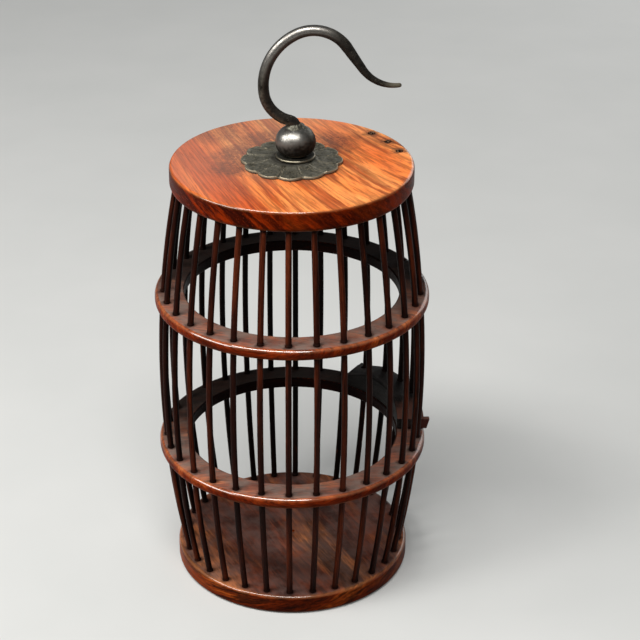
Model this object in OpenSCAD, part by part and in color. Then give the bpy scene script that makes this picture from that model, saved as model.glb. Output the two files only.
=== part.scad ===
// Round cricket cage: two turned boards and two hoops strung on a ring of bowed bars,
// with a lifting door on the right at the back and a swivelling hook on top.
// Millimetres, +Z up. The cage stands on Z = 0, its front faces -Y, and the hook points to +X.

/* [Boards] */
// Diameter of the base board
board_d = 120; // [116:0.5:126]
// How much smaller the top board is across
top_trim = 2; // [0:0.5:3]
// Thickness of the base board
base_t = 10.4; // [9:0.1:14]
// Thickness of the top board
top_t = 10.7; // [9:0.1:14]
// Fillet along the upper edge of each board
board_round = 1.8; // [0.6:0.1:2.4]
// Fillet along the lower edge of each board
board_under = 2.4; // [0.6:0.1:3]
// Diameter of the turning centre left in the base board
centre_d = 2.2; // [1.2:0.1:4]
// Depth of the turning centre
centre_depth = 2; // [1:0.1:4]

/* [Hoops] */
// Outer diameter of the hoops
hoop_d = 136; // [132:0.5:144]
// Radial width of the hoops
hoop_w = 14.7; // [12:0.1:18]
// Thickness of the hoops
hoop_t = 5.8; // [4.5:0.1:8]
// Fillet along the outer edges of the hoops
hoop_round = 2.3; // [0.6:0.1:2.8]
// Fillet along the inner edges of the hoops
hoop_inner_round = 0.7; // [0.3:0.1:1.2]

/* [Tiers] */
// Clear height from the base board to the lower hoop
low_tier = 57.2; // [45:0.2:70]
// Clear height between the hoops
mid_tier = 76; // [60:0.2:90]
// Clear height from the upper hoop to the top board
top_tier = 56; // [45:0.2:70]

/* [Bars] */
// Diameter of every bar
bar_d = 3; // [2.4:0.1:3.6]
// Wood left outside the bar circle on a hoop, to the bar's middle
hoop_edge = 4.1; // [3.4:0.1:6]
// Wood left outside the bar circle on the base board, to the bar's middle
foot_edge = 4.2; // [3.6:0.1:6]
// Depth of the blind sockets in the boards
socket_depth = 6; // [4:0.1:7.5]
// Radial clearance of a glued bar in its hole
bar_fit = 0.1; // [0.05:0.01:0.15]
// Gap left under a bar's end in its socket
end_gap = 0.3; // [0.2:0.05:0.6]

/* [Door] */
// Radial clearance of the door's sliding pieces
slide_fit = 0.35; // [0.3:0.01:0.5]
// Gap under the closed door's rail
door_seat = 0.15; // [0.1:0.01:0.4]
// Radial width of the door's rail
rail_w = 13.8; // [10:0.1:14]
// How far the rail's outer side stands back from the hoop's rim
rail_inset = 0.5; // [0:0.1:1.2]
// How far the lips at the rail's ends stand out
lip_out = 3; // [1.5:0.1:4]
// How much less they stand out at the bottom
lip_cut = 1.4; // [0.5:0.1:1.4]
// Length of each lip along the rail
lip_len = 3; // [2:0.1:5]
// Height of the rail in the middle
rail_h = 11; // [9:0.1:14]
// Height of the rail at its ends
rail_end_h = 6.2; // [4:0.1:8]
// Length of the flat on top of the rail
rail_flat = 33; // [31:0.5:38]
// Length of the level ledge at each end of the rail
rail_ledge = 1; // [0.5:0.1:3]
// Length of the rail past each guide bar
rail_tail = 6.4; // [5:0.1:8]
// Depth of the door bars in the rail
rail_socket = 7; // [5:0.1:8.5]
// How far the door bars stand out of the top board
door_proud = 0.6; // [0.2:0.1:3]

/* [Petal plate] */
// Diameter over the petals
petal_d = 49; // [44:0.5:56]
// Radius of each petal's round end
petal_end_r = 7; // [6.2:0.1:8]
// Thickness at the petals' ends
petal_edge_t = 0.9; // [0.7:0.1:1.6]
// Diameter of the flat hub
petal_hub_d = 20.6; // [19.6:0.1:24]
// Thickness at the hub
petal_hub_t = 2.4; // [2:0.1:4]
// Depth of the creases between the petals
crease_depth = 0.5; // [0.2:0.05:0.6]

/* [Hook] */
// How far the hook's shank stands to the right of the board's middle
hook_off = 1.8; // [0:0.1:2.4]
// Diameter of the hook's rod and shank
rod_d = 5.4; // [4.6:0.1:5.6]
// Diameter of the rod's tip
tip_d = 2.1; // [1.6:0.1:3]
// Radial clearance round the turning shank
turn_fit = 0.25; // [0.15:0.01:0.4]
// Gap above and below the turning hook's shoulders
turn_gap = 0.2; // [0.1:0.01:0.4]
// Diameter of the collar's flange
flange_d = 19.2; // [16:0.1:19.5]
// Thickness of the collar's flange
flange_t = 1.5; // [1:0.1:2.5]
// Diameter of the collar's neck ring
neck_d = 12.8; // [11:0.1:15]
// Thickness of the collar's neck ring
neck_t = 1.6; // [1:0.1:2.5]
// Diameter of the ball
ball_d = 19.4; // [18:0.1:21]
// Full height that the ball's round would have
ball_h = 15.6; // [14:0.1:15.8]
// Height of the ball's middle over its seat
ball_sit = 4.9; // [4:0.1:6]
// Height over the ball's middle where the rod starts to bend
root_rise = 7.3; // [7.1:0.1:7.8]
// Radius of the bend at the root
root_r = 3.4; // [3:0.1:6]
// Angle of the bend at the root
root_angle = 77; // [60:1:80]
// Radius of the bow's lower stretch
bow_low_r = 16; // [14:0.1:24]
// Angle of the bow's lower stretch
bow_low_angle = 69; // [60:1:80]
// Radius of the bow's back
bow_back_r = 28.5; // [24:0.1:36]
// Angle of the bow's back
bow_back_angle = 71; // [60:1:80]
// Radius of the bow's crown
bow_crown_r = 18.4; // [14:0.1:24]
// Angle of the bow's crown
bow_crown_angle = 82; // [70:1:95]
// Length of the straight stretch before the tip
nose_len = 13.6; // [10:0.1:20]
// Diameter of the rod where the straight stretch ends
nose_d = 3.9; // [3:0.1:4.4]
// Radius of the turned-up tip
tip_r = 18; // [12:0.1:22]
// Angle of the turned-up tip
tip_angle = 63; // [40:1:75]
// Diameter of the washer under the top board
washer_d = 13; // [11:0.1:18]
// Thickness of the washer
washer_t = 1; // [0.6:0.1:2]
// Diameter of the shank's burred-over end
burr_d = 8; // [7:0.1:10]
// Thickness of the shank's burred-over end
burr_t = 1.8; // [1:0.1:3]

/* [Hidden] */
$fn = 64;
// Cutters run this far past the faces that they cut
past = 1;
// Places round the bar circle, the first at the front, counted towards +X
bar_n = 30;
pitch = 360 / bar_n;
// The door's middle bar and the places beside it
door_place = 10;
// Places from the door's middle bar to each guide bar
guide_step = 2;
// Petals round the plate
petal_n = 12;
petal_pitch = 360 / petal_n;

// Heights of the faces
low_hoop_z = base_t + low_tier;
low_hoop_top = low_hoop_z + hoop_t;
up_hoop_z = low_hoop_top + mid_tier;
up_hoop_top = up_hoop_z + hoop_t;
top_z = up_hoop_top + top_tier;
cage_h = top_z + top_t;
top_d = board_d - top_trim;
hoop_in = hoop_d / 2 - hoop_w;

// Every bar lies on one arc through the bar circles of the base board and the lower hoop
half_h = (top_z - base_t) / 2;
z_mid = base_t + half_h;
foot_r = board_d / 2 - foot_edge;
ring_r = hoop_d / 2 - hoop_edge;
ring_dz = low_hoop_z + hoop_t / 2 - z_mid;
arc_c = (foot_r * foot_r + half_h * half_h - ring_r * ring_r - ring_dz * ring_dz) / (2 * (foot_r - ring_r));
arc_r = sqrt(pow(foot_r - arc_c, 2) + half_h * half_h);

// Radius and lean of an arc about the same far centre, at a height
function arc_x(z, r = arc_r) = arc_c + sqrt(r * r - pow(z - z_mid, 2));
function arc_lean(z, r = arc_r) = asin((z - z_mid) / r);

// The door's bars stand side by side in parallel planes, so that they slide as one
function side_y(j) = ring_r * sin(j * pitch);
function side_r(j) = arc_r - ring_r * (1 - cos(j * pitch));

// Door rail
rail_z = low_hoop_top + door_seat;
rail_top = rail_z + rail_h;
rail_out = hoop_d / 2 - rail_inset;
rail_in = rail_out - rail_w;
rail_half_a = guide_step * pitch + asin(rail_tail / ring_r);
rail_end_y = rail_out * sin(rail_half_a);
rail_slope_y = rail_end_y - rail_ledge;
// The lips stand back a little from the rail's ends, bottom and slopes
lip_back = 0.3;
lip_a = asin(lip_len / rail_out);
lip_back_a = asin(lip_back / rail_out);
lip_h = rail_end_h - 2 * lip_back;
// Room that the guide bars need while the door runs over the belly of the arc, sideways and across
guide_belly = arc_c + arc_r - arc_x(rail_z);
guide_slack = guide_belly * sin(guide_step * pitch) + slide_fit;
guide_slot_d = bar_d + 2 * (slide_fit + guide_belly * (1 - cos(guide_step * pitch)));

// Hook stack
hub_z = cage_h + petal_hub_t;
collar_z = hub_z + turn_gap;
ball_z = collar_z + flange_t + neck_t + ball_sit;
root_z = ball_z + root_rise;
burr_z = top_z - washer_t - turn_gap;
bore_d = rod_d + 2 * turn_fit;
root_dz = ball_z + ball_h / 2 - root_z;
mouth_d = rod_d + 2 * (bar_fit + slide_fit + root_r - sqrt(root_r * root_r - root_dz * root_dz));

// The hook's stretches as radius and angle, positive to the left; radius 0 is a straight length
hook_path = [
    [root_r, root_angle],
    [-bow_low_r, -bow_low_angle],
    [-bow_back_r, -bow_back_angle],
    [-bow_crown_r, -bow_crown_angle],
    [0, nose_len],
    [tip_r, tip_angle]
];
function stretch_len(p) = p[0] == 0 ? p[1] : p[0] * p[1] * PI / 180;
function run_to(n) = n == 0 ? 0 : stretch_len(hook_path[n - 1]) + run_to(n - 1);
bow_run = run_to(4);
nose_run = run_to(5);
hook_run = run_to(6);
// Thickness of the rod along its run: a hair under the shank at the root, thin at the tip
root_d = rod_d - bar_fit;
function rod_taper(s) = lookup(s, [[0, root_d], [bow_run, root_d], [nose_run, nose_d], [hook_run, tip_d]]);
// Position and heading part of the way along a stretch
function along(at, p, t) = p[0] == 0
    ? [at[0] + p[1] * t * cos(at[2]), at[1] + p[1] * t * sin(at[2]), at[2]]
    : let (to = at[2] + p[1] * t)
        [at[0] + p[0] * (sin(to) - sin(at[2])), at[1] - p[0] * (cos(to) - cos(at[2])), to];
// All stations of the hook after the root, each with its run
function stations(at, i = 0) = i == len(hook_path) ? [] :
    let (p = hook_path[i], n = p[0] == 0 ? 3 : max(6, ceil(abs(p[1]) / 8)))
    concat(
        [for (k = [1 : n]) concat(along(at, p, k / n), [run_to(i) + stretch_len(p) * k / n])],
        stations(along(at, p, 1), i + 1)
    );

wood = "#9a4420";
wood_top = "#c9652f";
dark = "#2d1510";
pewter = "#55534f";

// Turns the radial plane X-Z to a place on the bar circle
module at_place(k) {
    rotate([0, 0, k * pitch - 90]) children();
}

// What a fillet takes off a corner whose wood lies towards -X and -Y
module corner_cut(r) {
    translate([-r, -r]) difference() {
        square(2 * r);
        circle(r);
    }
}

// Section of a ring or disc with rounded edges
module ring_section(r_in, r_out, t, top_round, low_round, in_round) {
    difference() {
        translate([r_in, 0]) square([r_out - r_in, t]);
        translate([r_out, t]) corner_cut(top_round);
        translate([r_out, 0]) mirror([0, 1]) corner_cut(low_round);
        if (in_round > 0) {
            translate([r_in, t]) mirror([1, 0]) corner_cut(in_round);
            translate([r_in, 0]) mirror([1, 0]) mirror([0, 1]) corner_cut(in_round);
        }
    }
}

// A bowed bar between two heights, in the plane X-Z
module bowed(z_low, z_high, d, r = arc_r) {
    translate([arc_c, 0, z_mid])
        rotate([90, 0, 0])
            rotate([0, 0, arc_lean(z_low, r)])
                rotate_extrude(angle = arc_lean(z_high, r) - arc_lean(z_low, r), $fn = 720)
                    translate([r, 0]) circle(d = d, $fn = 48);
}

// A straight drilled hole along the bar's own lean, from a height and over a depth each way
module drilled(z, below, above, d, r = arc_r) {
    translate([arc_x(z, r), 0, z])
        rotate([0, -arc_lean(z, r), 0])
            translate([0, 0, -below]) cylinder(h = below + above, d = d, $fn = 48);
}

// The holes of the three door bars, in the door's own frame
module door_holes(z, below, above, d) {
    for (j = [-1 : 1]) {
        translate([0, side_y(j), 0]) drilled(z, below, above, d, side_r(j));
    }
}

function is_door(k) = abs(k - door_place) < guide_step;

module hoop(z, has_door) {
    d = bar_d + 2 * bar_fit;
    z_half = z + hoop_t / 2;
    reach = hoop_t / 2 + past;
    difference() {
        translate([0, 0, z]) rotate_extrude($fn = 180)
            ring_section(hoop_in, hoop_d / 2, hoop_t, hoop_round, hoop_round, hoop_inner_round);
        for (k = [0 : bar_n - 1]) {
            if (!has_door || !is_door(k)) at_place(k) drilled(z_half, reach, reach, d);
        }
        if (has_door) at_place(door_place) door_holes(z_half, reach, reach, bar_d + 2 * slide_fit);
    }
}

module base_board() {
    color(wood) difference() {
        rotate_extrude($fn = 180) ring_section(0, board_d / 2, base_t, board_round, board_under, 0);
        for (k = [0 : bar_n - 1]) {
            at_place(k) drilled(base_t, socket_depth, past, bar_d + 2 * bar_fit);
        }
        translate([0, 0, base_t - centre_depth]) cylinder(h = centre_depth + past, d = centre_d);
    }
}

module lower_hoop() {
    color(wood) hoop(low_hoop_z, false);
}

module upper_hoop() {
    color(wood) hoop(up_hoop_z, true);
}

module top_board() {
    color(wood_top) difference() {
        translate([0, 0, top_z]) rotate_extrude($fn = 180)
            ring_section(0, top_d / 2, top_t, board_round, board_under, 0);
        for (k = [0 : bar_n - 1]) {
            if (!is_door(k)) at_place(k) drilled(top_z, past, socket_depth, bar_d + 2 * bar_fit);
        }
        at_place(door_place)
            door_holes(top_z + top_t / 2, top_t / 2 + past, top_t / 2 + past, bar_d + 2 * slide_fit);
        translate([hook_off, 0, top_z - past]) cylinder(h = top_t + 2 * past, d = bore_d);
    }
}

// A full bar runs from its socket in the base board to its socket in the top board
module bar(k) {
    reach = socket_depth - end_gap;
    color(dark) at_place(k) bowed(base_t - reach, top_z + reach, bar_d);
}

// A short bar fills a place under the door
module short_bar(k) {
    reach = socket_depth - end_gap;
    color(dark) at_place(k) bowed(base_t - reach, low_hoop_top - end_gap, bar_d);
}

// The rail's long side: level in the middle, falling to a short ledge at both ends
module rail_side() {
    polygon([
        [-rail_end_y - past, 0],
        [rail_end_y + past, 0],
        [rail_end_y + past, rail_end_h],
        [rail_slope_y, rail_end_h],
        [rail_flat / 2, rail_h],
        [-rail_flat / 2, rail_h],
        [-rail_slope_y, rail_end_h],
        [-rail_end_y - past, rail_end_h]
    ]);
}

// Long hole for a guide bar, open sideways by the slack, in the guide bar's own plane
module guide_slot(way) {
    d = guide_slot_d;
    z = rail_z + rail_end_h / 2;
    reach = rail_h + past;
    translate([arc_x(z), 0, z]) rotate([0, -arc_lean(z), 0]) translate([0, 0, -reach]) {
        cylinder(h = 2 * reach, d = d);
        translate([0, way * guide_slack, 0]) cylinder(h = 2 * reach, d = d);
        translate([-d / 2, min(0, way * guide_slack), 0]) cube([d, guide_slack, 2 * reach]);
    }
}

// A lip to lift the door by, its outer side leaning out as it rises
module rail_lip() {
    translate([0, 0, rail_z + lip_back]) rotate_extrude(angle = lip_a, $fn = 360) polygon([
        [rail_out - past, 0],
        [rail_out + lip_out - lip_cut, 0],
        [rail_out + lip_out, lip_h],
        [rail_out - past, lip_h]
    ]);
}

module door_rail() {
    color(dark) at_place(door_place) difference() {
        union() {
            intersection() {
                translate([0, 0, rail_z]) rotate([0, 0, -rail_half_a])
                    rotate_extrude(angle = 2 * rail_half_a, $fn = 360)
                        translate([rail_in, 0]) square([rail_w, rail_h]);
                translate([0, 0, rail_z]) rotate([90, 0, 90])
                    linear_extrude(height = rail_out + past) rail_side();
            }
            rotate([0, 0, lip_back_a - rail_half_a]) rail_lip();
            rotate([0, 0, rail_half_a - lip_a - lip_back_a]) rail_lip();
        }
        door_holes(rail_top, rail_socket, past, bar_d + 2 * bar_fit);
        for (way = [-1, 1]) {
            rotate([0, 0, way * guide_step * pitch]) guide_slot(way);
        }
    }
}

module door_bar(k) {
    j = k - door_place;
    color(dark) at_place(door_place) translate([0, side_y(j), 0])
        bowed(rail_top - rail_socket + end_gap, cage_h + door_proud, bar_d, side_r(j));
}

// Scalloped outline of the petal plate
module petal_outline() {
    end_x = petal_d / 2 - petal_end_r;
    circle(r = end_x);
    for (i = [0 : petal_n - 1]) {
        rotate([0, 0, i * petal_pitch]) translate([end_x, 0]) circle(r = petal_end_r);
    }
}

module petal_plate() {
    slope_x = petal_d / 2 - petal_hub_d / 2;
    slope_z = petal_hub_t - petal_edge_t;
    slope_a = atan(slope_z / slope_x);
    groove = crease_depth * sqrt(2);
    color(pewter) translate([0, 0, cage_h]) difference() {
        intersection() {
            rotate_extrude($fn = 180) polygon([
                [0, 0],
                [petal_d / 2, 0],
                [petal_d / 2, petal_edge_t],
                [petal_hub_d / 2, petal_hub_t],
                [0, petal_hub_t]
            ]);
            linear_extrude(height = petal_hub_t + past) petal_outline();
        }
        for (i = [0 : petal_n - 1]) {
            rotate([0, 0, (i + 0.5) * petal_pitch])
                translate([petal_hub_d / 2, 0, petal_hub_t])
                    rotate([0, slope_a, 0])
                        rotate([45, 0, 0])
                            translate([0, -groove / 2, -groove / 2])
                                cube([slope_x + past, groove, groove]);
        }
        translate([hook_off, 0, -past]) cylinder(h = petal_hub_t + 2 * past, d = bore_d);
    }
}

// The bow swept along its stations as it thins, starting inside the shank and ending in a small dome
module bow() {
    sides = 24;
    caps = 3;
    root = [[0, -rod_d / 2, 90, -rod_d / 2], [0, 0, 90, 0]];
    bent = stations([0, 0, 90]);
    last = bent[len(bent) - 1];
    dome = [for (i = [1 : caps]) let (out = tip_d / 2 * sin(28 * i))
        [last[0] + out * cos(last[2]), last[1] + out * sin(last[2]), last[2], last[3]]];
    path = concat(root, bent, dome);
    rings = len(path);
    first_dome = rings - caps;
    points = [for (i = [0 : rings - 1]) for (k = [0 : sides - 1])
        let (
            at = path[i],
            end = i < first_dome ? 1 : cos(28 * (i - first_dome + 1)),
            r = end * rod_taper(at[3]) / 2,
            side = r * cos(360 * k / sides)
        )
        [at[0] + side * sin(at[2]), at[1] - side * cos(at[2]), r * sin(360 * k / sides)]];
    walls = [for (i = [0 : rings - 2]) for (k = [0 : sides - 1]) for (half = [0, 1])
        let (a = i * sides + k, b = i * sides + (k + 1) % sides)
        half == 0 ? [a, b, b + sides] : [a, b + sides, a + sides]];
    ends = [
        [for (k = [0 : sides - 1]) sides - 1 - k],
        [for (k = [0 : sides - 1]) (rings - 1) * sides + k]
    ];
    polyhedron(points = points, faces = concat(walls, ends));
}

// Shank, bow and tip are one rod, burred over under the washer
module hook_rod() {
    color(pewter) translate([hook_off, 0, 0]) {
        translate([0, 0, burr_z - burr_t / 2]) cylinder(h = root_z - burr_z + burr_t / 2, d = rod_d);
        translate([0, 0, burr_z - burr_t]) rotate_extrude() polygon([
            [0, 0],
            [burr_d / 2 - burr_t / 2, 0],
            [burr_d / 2, burr_t / 2],
            [burr_d / 2, burr_t],
            [0, burr_t]
        ]);
        translate([0, 0, root_z]) rotate([90, 0, 0]) bow();
    }
}

module hook_ball() {
    waist = (ball_d - ball_h) / 2;
    color(pewter) translate([hook_off, 0, ball_z]) difference() {
        rotate_extrude($fn = 96) intersection() {
            union() {
                translate([waist, 0]) circle(d = ball_h);
                translate([0, -ball_h / 2]) square([waist, ball_h]);
            }
            translate([0, -ball_sit]) square([ball_d, ball_h]);
        }
        translate([0, 0, -ball_h]) cylinder(h = 2 * ball_h, d = rod_d + 2 * bar_fit);
        translate([0, 0, root_rise])
            cylinder(h = ball_h / 2, d1 = rod_d + 2 * bar_fit, d2 = mouth_d + (mouth_d - rod_d) * 3);
    }
}

// A rounded flange with a rounded neck ring on it
module hook_collar() {
    color(pewter) translate([hook_off, 0, collar_z]) difference() {
        rotate_extrude($fn = 96) {
            square([flange_d / 2 - flange_t / 2, flange_t]);
            translate([flange_d / 2 - flange_t / 2, flange_t / 2]) circle(d = flange_t);
            translate([0, flange_t]) square([neck_d / 2 - neck_t / 2, neck_t]);
            translate([neck_d / 2 - neck_t / 2, flange_t + neck_t / 2]) circle(d = neck_t);
        }
        translate([0, 0, -past]) cylinder(h = flange_t + neck_t + 2 * past, d = rod_d + 2 * bar_fit);
    }
}

module shank_washer() {
    color(pewter) translate([hook_off, 0, top_z - washer_t]) difference() {
        cylinder(h = washer_t, d = washer_d);
        translate([0, 0, -past]) cylinder(h = washer_t + 2 * past, d = bore_d);
    }
}

base_board();
lower_hoop();
upper_hoop();
top_board();
bar(0);  // bar_00
bar(1);  // bar_01
bar(2);  // bar_02
bar(3);  // bar_03
bar(4);  // bar_04
bar(5);  // bar_05
bar(6);  // bar_06
bar(7);  // bar_07
bar(8);  // bar_08
bar(12);  // bar_12
bar(13);  // bar_13
bar(14);  // bar_14
bar(15);  // bar_15
bar(16);  // bar_16
bar(17);  // bar_17
bar(18);  // bar_18
bar(19);  // bar_19
bar(20);  // bar_20
bar(21);  // bar_21
bar(22);  // bar_22
bar(23);  // bar_23
bar(24);  // bar_24
bar(25);  // bar_25
bar(26);  // bar_26
bar(27);  // bar_27
bar(28);  // bar_28
bar(29);  // bar_29
short_bar(9);  // short_bar_09
short_bar(10);  // short_bar_10
short_bar(11);  // short_bar_11
door_rail();
door_bar(9);  // door_bar_09
door_bar(10);  // door_bar_10
door_bar(11);  // door_bar_11
petal_plate();
hook_rod();
hook_ball();
hook_collar();
shank_washer();
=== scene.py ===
"""Round cricket cage in dark red wood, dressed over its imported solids.

Two turned boards and two hoops are strung on thirty bowed bars. Three of the bars lift with a
curved rail as a door, and a pewter hook turns on the top board. Sizes in the classes are
millimetres; every mesh is built in metres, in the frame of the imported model.
"""

import logging
import math
from dataclasses import dataclass
from enum import Enum
from functools import reduce
from typing import Callable, Sequence

import bmesh
import bpy
from mathutils import Matrix, Vector, noise


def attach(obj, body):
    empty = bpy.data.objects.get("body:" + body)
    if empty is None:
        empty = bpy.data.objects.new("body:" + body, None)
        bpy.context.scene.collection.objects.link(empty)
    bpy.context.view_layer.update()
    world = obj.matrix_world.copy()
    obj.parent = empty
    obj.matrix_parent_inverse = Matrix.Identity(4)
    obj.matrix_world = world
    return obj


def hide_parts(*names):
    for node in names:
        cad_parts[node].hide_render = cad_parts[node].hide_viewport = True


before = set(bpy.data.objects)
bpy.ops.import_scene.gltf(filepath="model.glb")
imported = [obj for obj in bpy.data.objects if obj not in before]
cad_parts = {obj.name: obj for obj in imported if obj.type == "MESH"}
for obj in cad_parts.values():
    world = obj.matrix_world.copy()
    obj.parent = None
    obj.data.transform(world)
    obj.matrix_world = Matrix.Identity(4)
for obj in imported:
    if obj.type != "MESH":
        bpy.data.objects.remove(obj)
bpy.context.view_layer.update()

log = logging.getLogger("cricket_cage")

MM = 0.001
SHADE_STOPS = (0.34, 0.5, 0.66)
DOOR_STEPS = (-1, 0, 1)
BOTH_WAYS = (-1, 1)
WEAR_KINDS = ("pitted", "worn", "polished", "grimy")
Point = tuple[float, float, float]
Colour = tuple[float, float, float, float]
Profile = Sequence[tuple[float, float]]
Shift = Callable[[float, float, float], tuple[float, float]]
Socket = bpy.types.NodeSocket
Tree = bpy.types.NodeTree
Material = bpy.types.Material
Piece = bpy.types.Object


def tint(code: str) -> Colour:
    """Turns a hex colour into linear red, green, blue and alpha.

    Args:
        code: six hex digits, as a paint card gives them.

    Returns:
        The colour as Blender's colour sockets take it.
    """
    parts = [int(code[i : i + 2], 16) / 255 for i in (0, 2, 4)]
    line = [c / 12.92 if c <= 0.04045 else ((c + 0.055) / 1.055) ** 2.4 for c in parts]
    return (line[0], line[1], line[2], 1.0)


def wave(x: float, y: float = 0.0, z: float = 0.0) -> float:
    """Gives smooth fixed noise between about -1 and 1 at a point."""
    return noise.noise(Vector((x, y, z)))


def ease(value: float, low: float, high: float) -> float:
    """Rises smoothly from 0 at low to 1 at high."""
    t = min(1.0, max(0.0, (value - low) / (high - low)))
    return t * t * (3 - 2 * t)


def around(count: int) -> list[float]:
    """Gives the angles of even steps round a circle, in radians."""
    return [2 * math.pi * k / count for k in range(count)]


def polar(r: float, a: float, z: float = 0.0) -> Point:
    """Gives the point at a radius, an angle and a height."""
    return (r * math.cos(a), r * math.sin(a), z)


# Meshes


class Ends(Enum):
    """How the ends of a skin are closed."""

    CAPPED = "a face over each end"
    JOINED = "the last ring meets the first"
    OPEN = "both ends stay open"


def skin(rings: Sequence[Sequence[Point]], ends: Ends = Ends.CAPPED) -> tuple[list[Point], list[list[int]]]:
    """Joins closed rings of points into one tube.

    Args:
        rings: rings in order, each with the same count of points.
        ends: how the tube is closed.

    Returns:
        The points and the faces.
    """
    n, m = len(rings[0]), len(rings)
    faces = [
        [i * n + k, i * n + (k + 1) % n, (i + 1) % m * n + (k + 1) % n, (i + 1) % m * n + k]
        for i in range(m if ends is Ends.JOINED else m - 1)
        for k in range(n)
    ]
    if ends is Ends.CAPPED:
        faces += [list(range(n)), list(range((m - 1) * n, m * n))]
    return [p for ring in rings for p in ring], faces


def mesh_piece(
    name: str, points: Sequence[Point], faces: Sequence[Sequence[int]], sharp: float = 42.0
) -> Piece:
    """Makes a smooth-shaded mesh object from millimetre points.

    Args:
        name: the piece's name.
        points: corner points in millimetres.
        faces: point numbers of each face.
        sharp: edges steeper than this many degrees stay crisp.

    Returns:
        The new object, at the origin.
    """
    mesh = bpy.data.meshes.new(name)
    mesh.from_pydata([(x * MM, y * MM, z * MM) for x, y, z in points], [], faces)
    work = bmesh.new()
    work.from_mesh(mesh)
    bmesh.ops.recalc_face_normals(work, faces=work.faces)
    work.to_mesh(mesh)
    work.free()
    mesh.shade_smooth()
    mesh.set_sharp_from_angle(angle=math.radians(sharp))
    piece = bpy.data.objects.new(name, mesh)
    bpy.context.scene.collection.objects.link(piece)
    return piece


def turned(name: str, profile: Profile, sides: int, shift: Shift) -> Piece:
    """Turns a closed radius-height profile about Z.

    Args:
        name: the piece's name.
        profile: radius and height in millimetres, all round the section.
        sides: steps round the axis.
        shift: gives the radial and upward change at a radius, height and angle.

    Returns:
        The new object.
    """
    loops = []
    for a in around(sides):
        moved = [(r, z, *shift(r, z, a)) for r, z in profile]
        loops.append([polar(r + dr, a, z + dz) for r, z, dr, dz in moved])
    return mesh_piece(name, *skin(loops, Ends.JOINED))


def mark(piece: Piece, name: str, values: Sequence[float]) -> None:
    """Stores one number per point under a name that a finish can read."""
    piece.data.attributes.new(name, "FLOAT", "POINT").data.foreach_set("value", list(values))


class Wear:
    """How pitted and worn a metal piece is, and where its polish with painted highlight and its grime with
    painted shade lie, gathered point by point.
    """

    def __init__(self) -> None:
        """Starts without points."""
        self.layers: dict[str, list[float]] = {kind: [] for kind in WEAR_KINDS}

    def add(self, count: int = 1, **values: float) -> None:
        """Adds points with one set of values; a kind that isn't given is 0."""
        for kind, layer in self.layers.items():
            layer.extend([values.get(kind, 0.0)] * count)

    def store(self, piece: Piece) -> None:
        """Stores the values on a piece's points."""
        for kind, layer in self.layers.items():
            mark(piece, kind, layer)


def seat(piece: Piece, body: str, slot: str, finish: Material, *nodes: str) -> None:
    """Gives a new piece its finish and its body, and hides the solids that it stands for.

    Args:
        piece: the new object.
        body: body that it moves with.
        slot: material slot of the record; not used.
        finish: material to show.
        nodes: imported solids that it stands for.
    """
    piece.data.materials.clear()
    piece.data.materials.append(finish)
    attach(piece, body)
    if nodes:
        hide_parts(*nodes)
    log.info("%s rides on %s, %d faces", piece.name, body, len(piece.data.polygons))


def dress(node: str, finish: Material) -> None:
    """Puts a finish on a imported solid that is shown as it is.

    Args:
        node: name of the solid.
        finish: material to show.
    """
    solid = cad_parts[node]
    if not solid.material_slots:
        solid.data.materials.append(finish)
    for place in solid.material_slots:
        place.material = finish
    log.info("%s dressed in %s", node, finish.name)


# Node wiring


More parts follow.
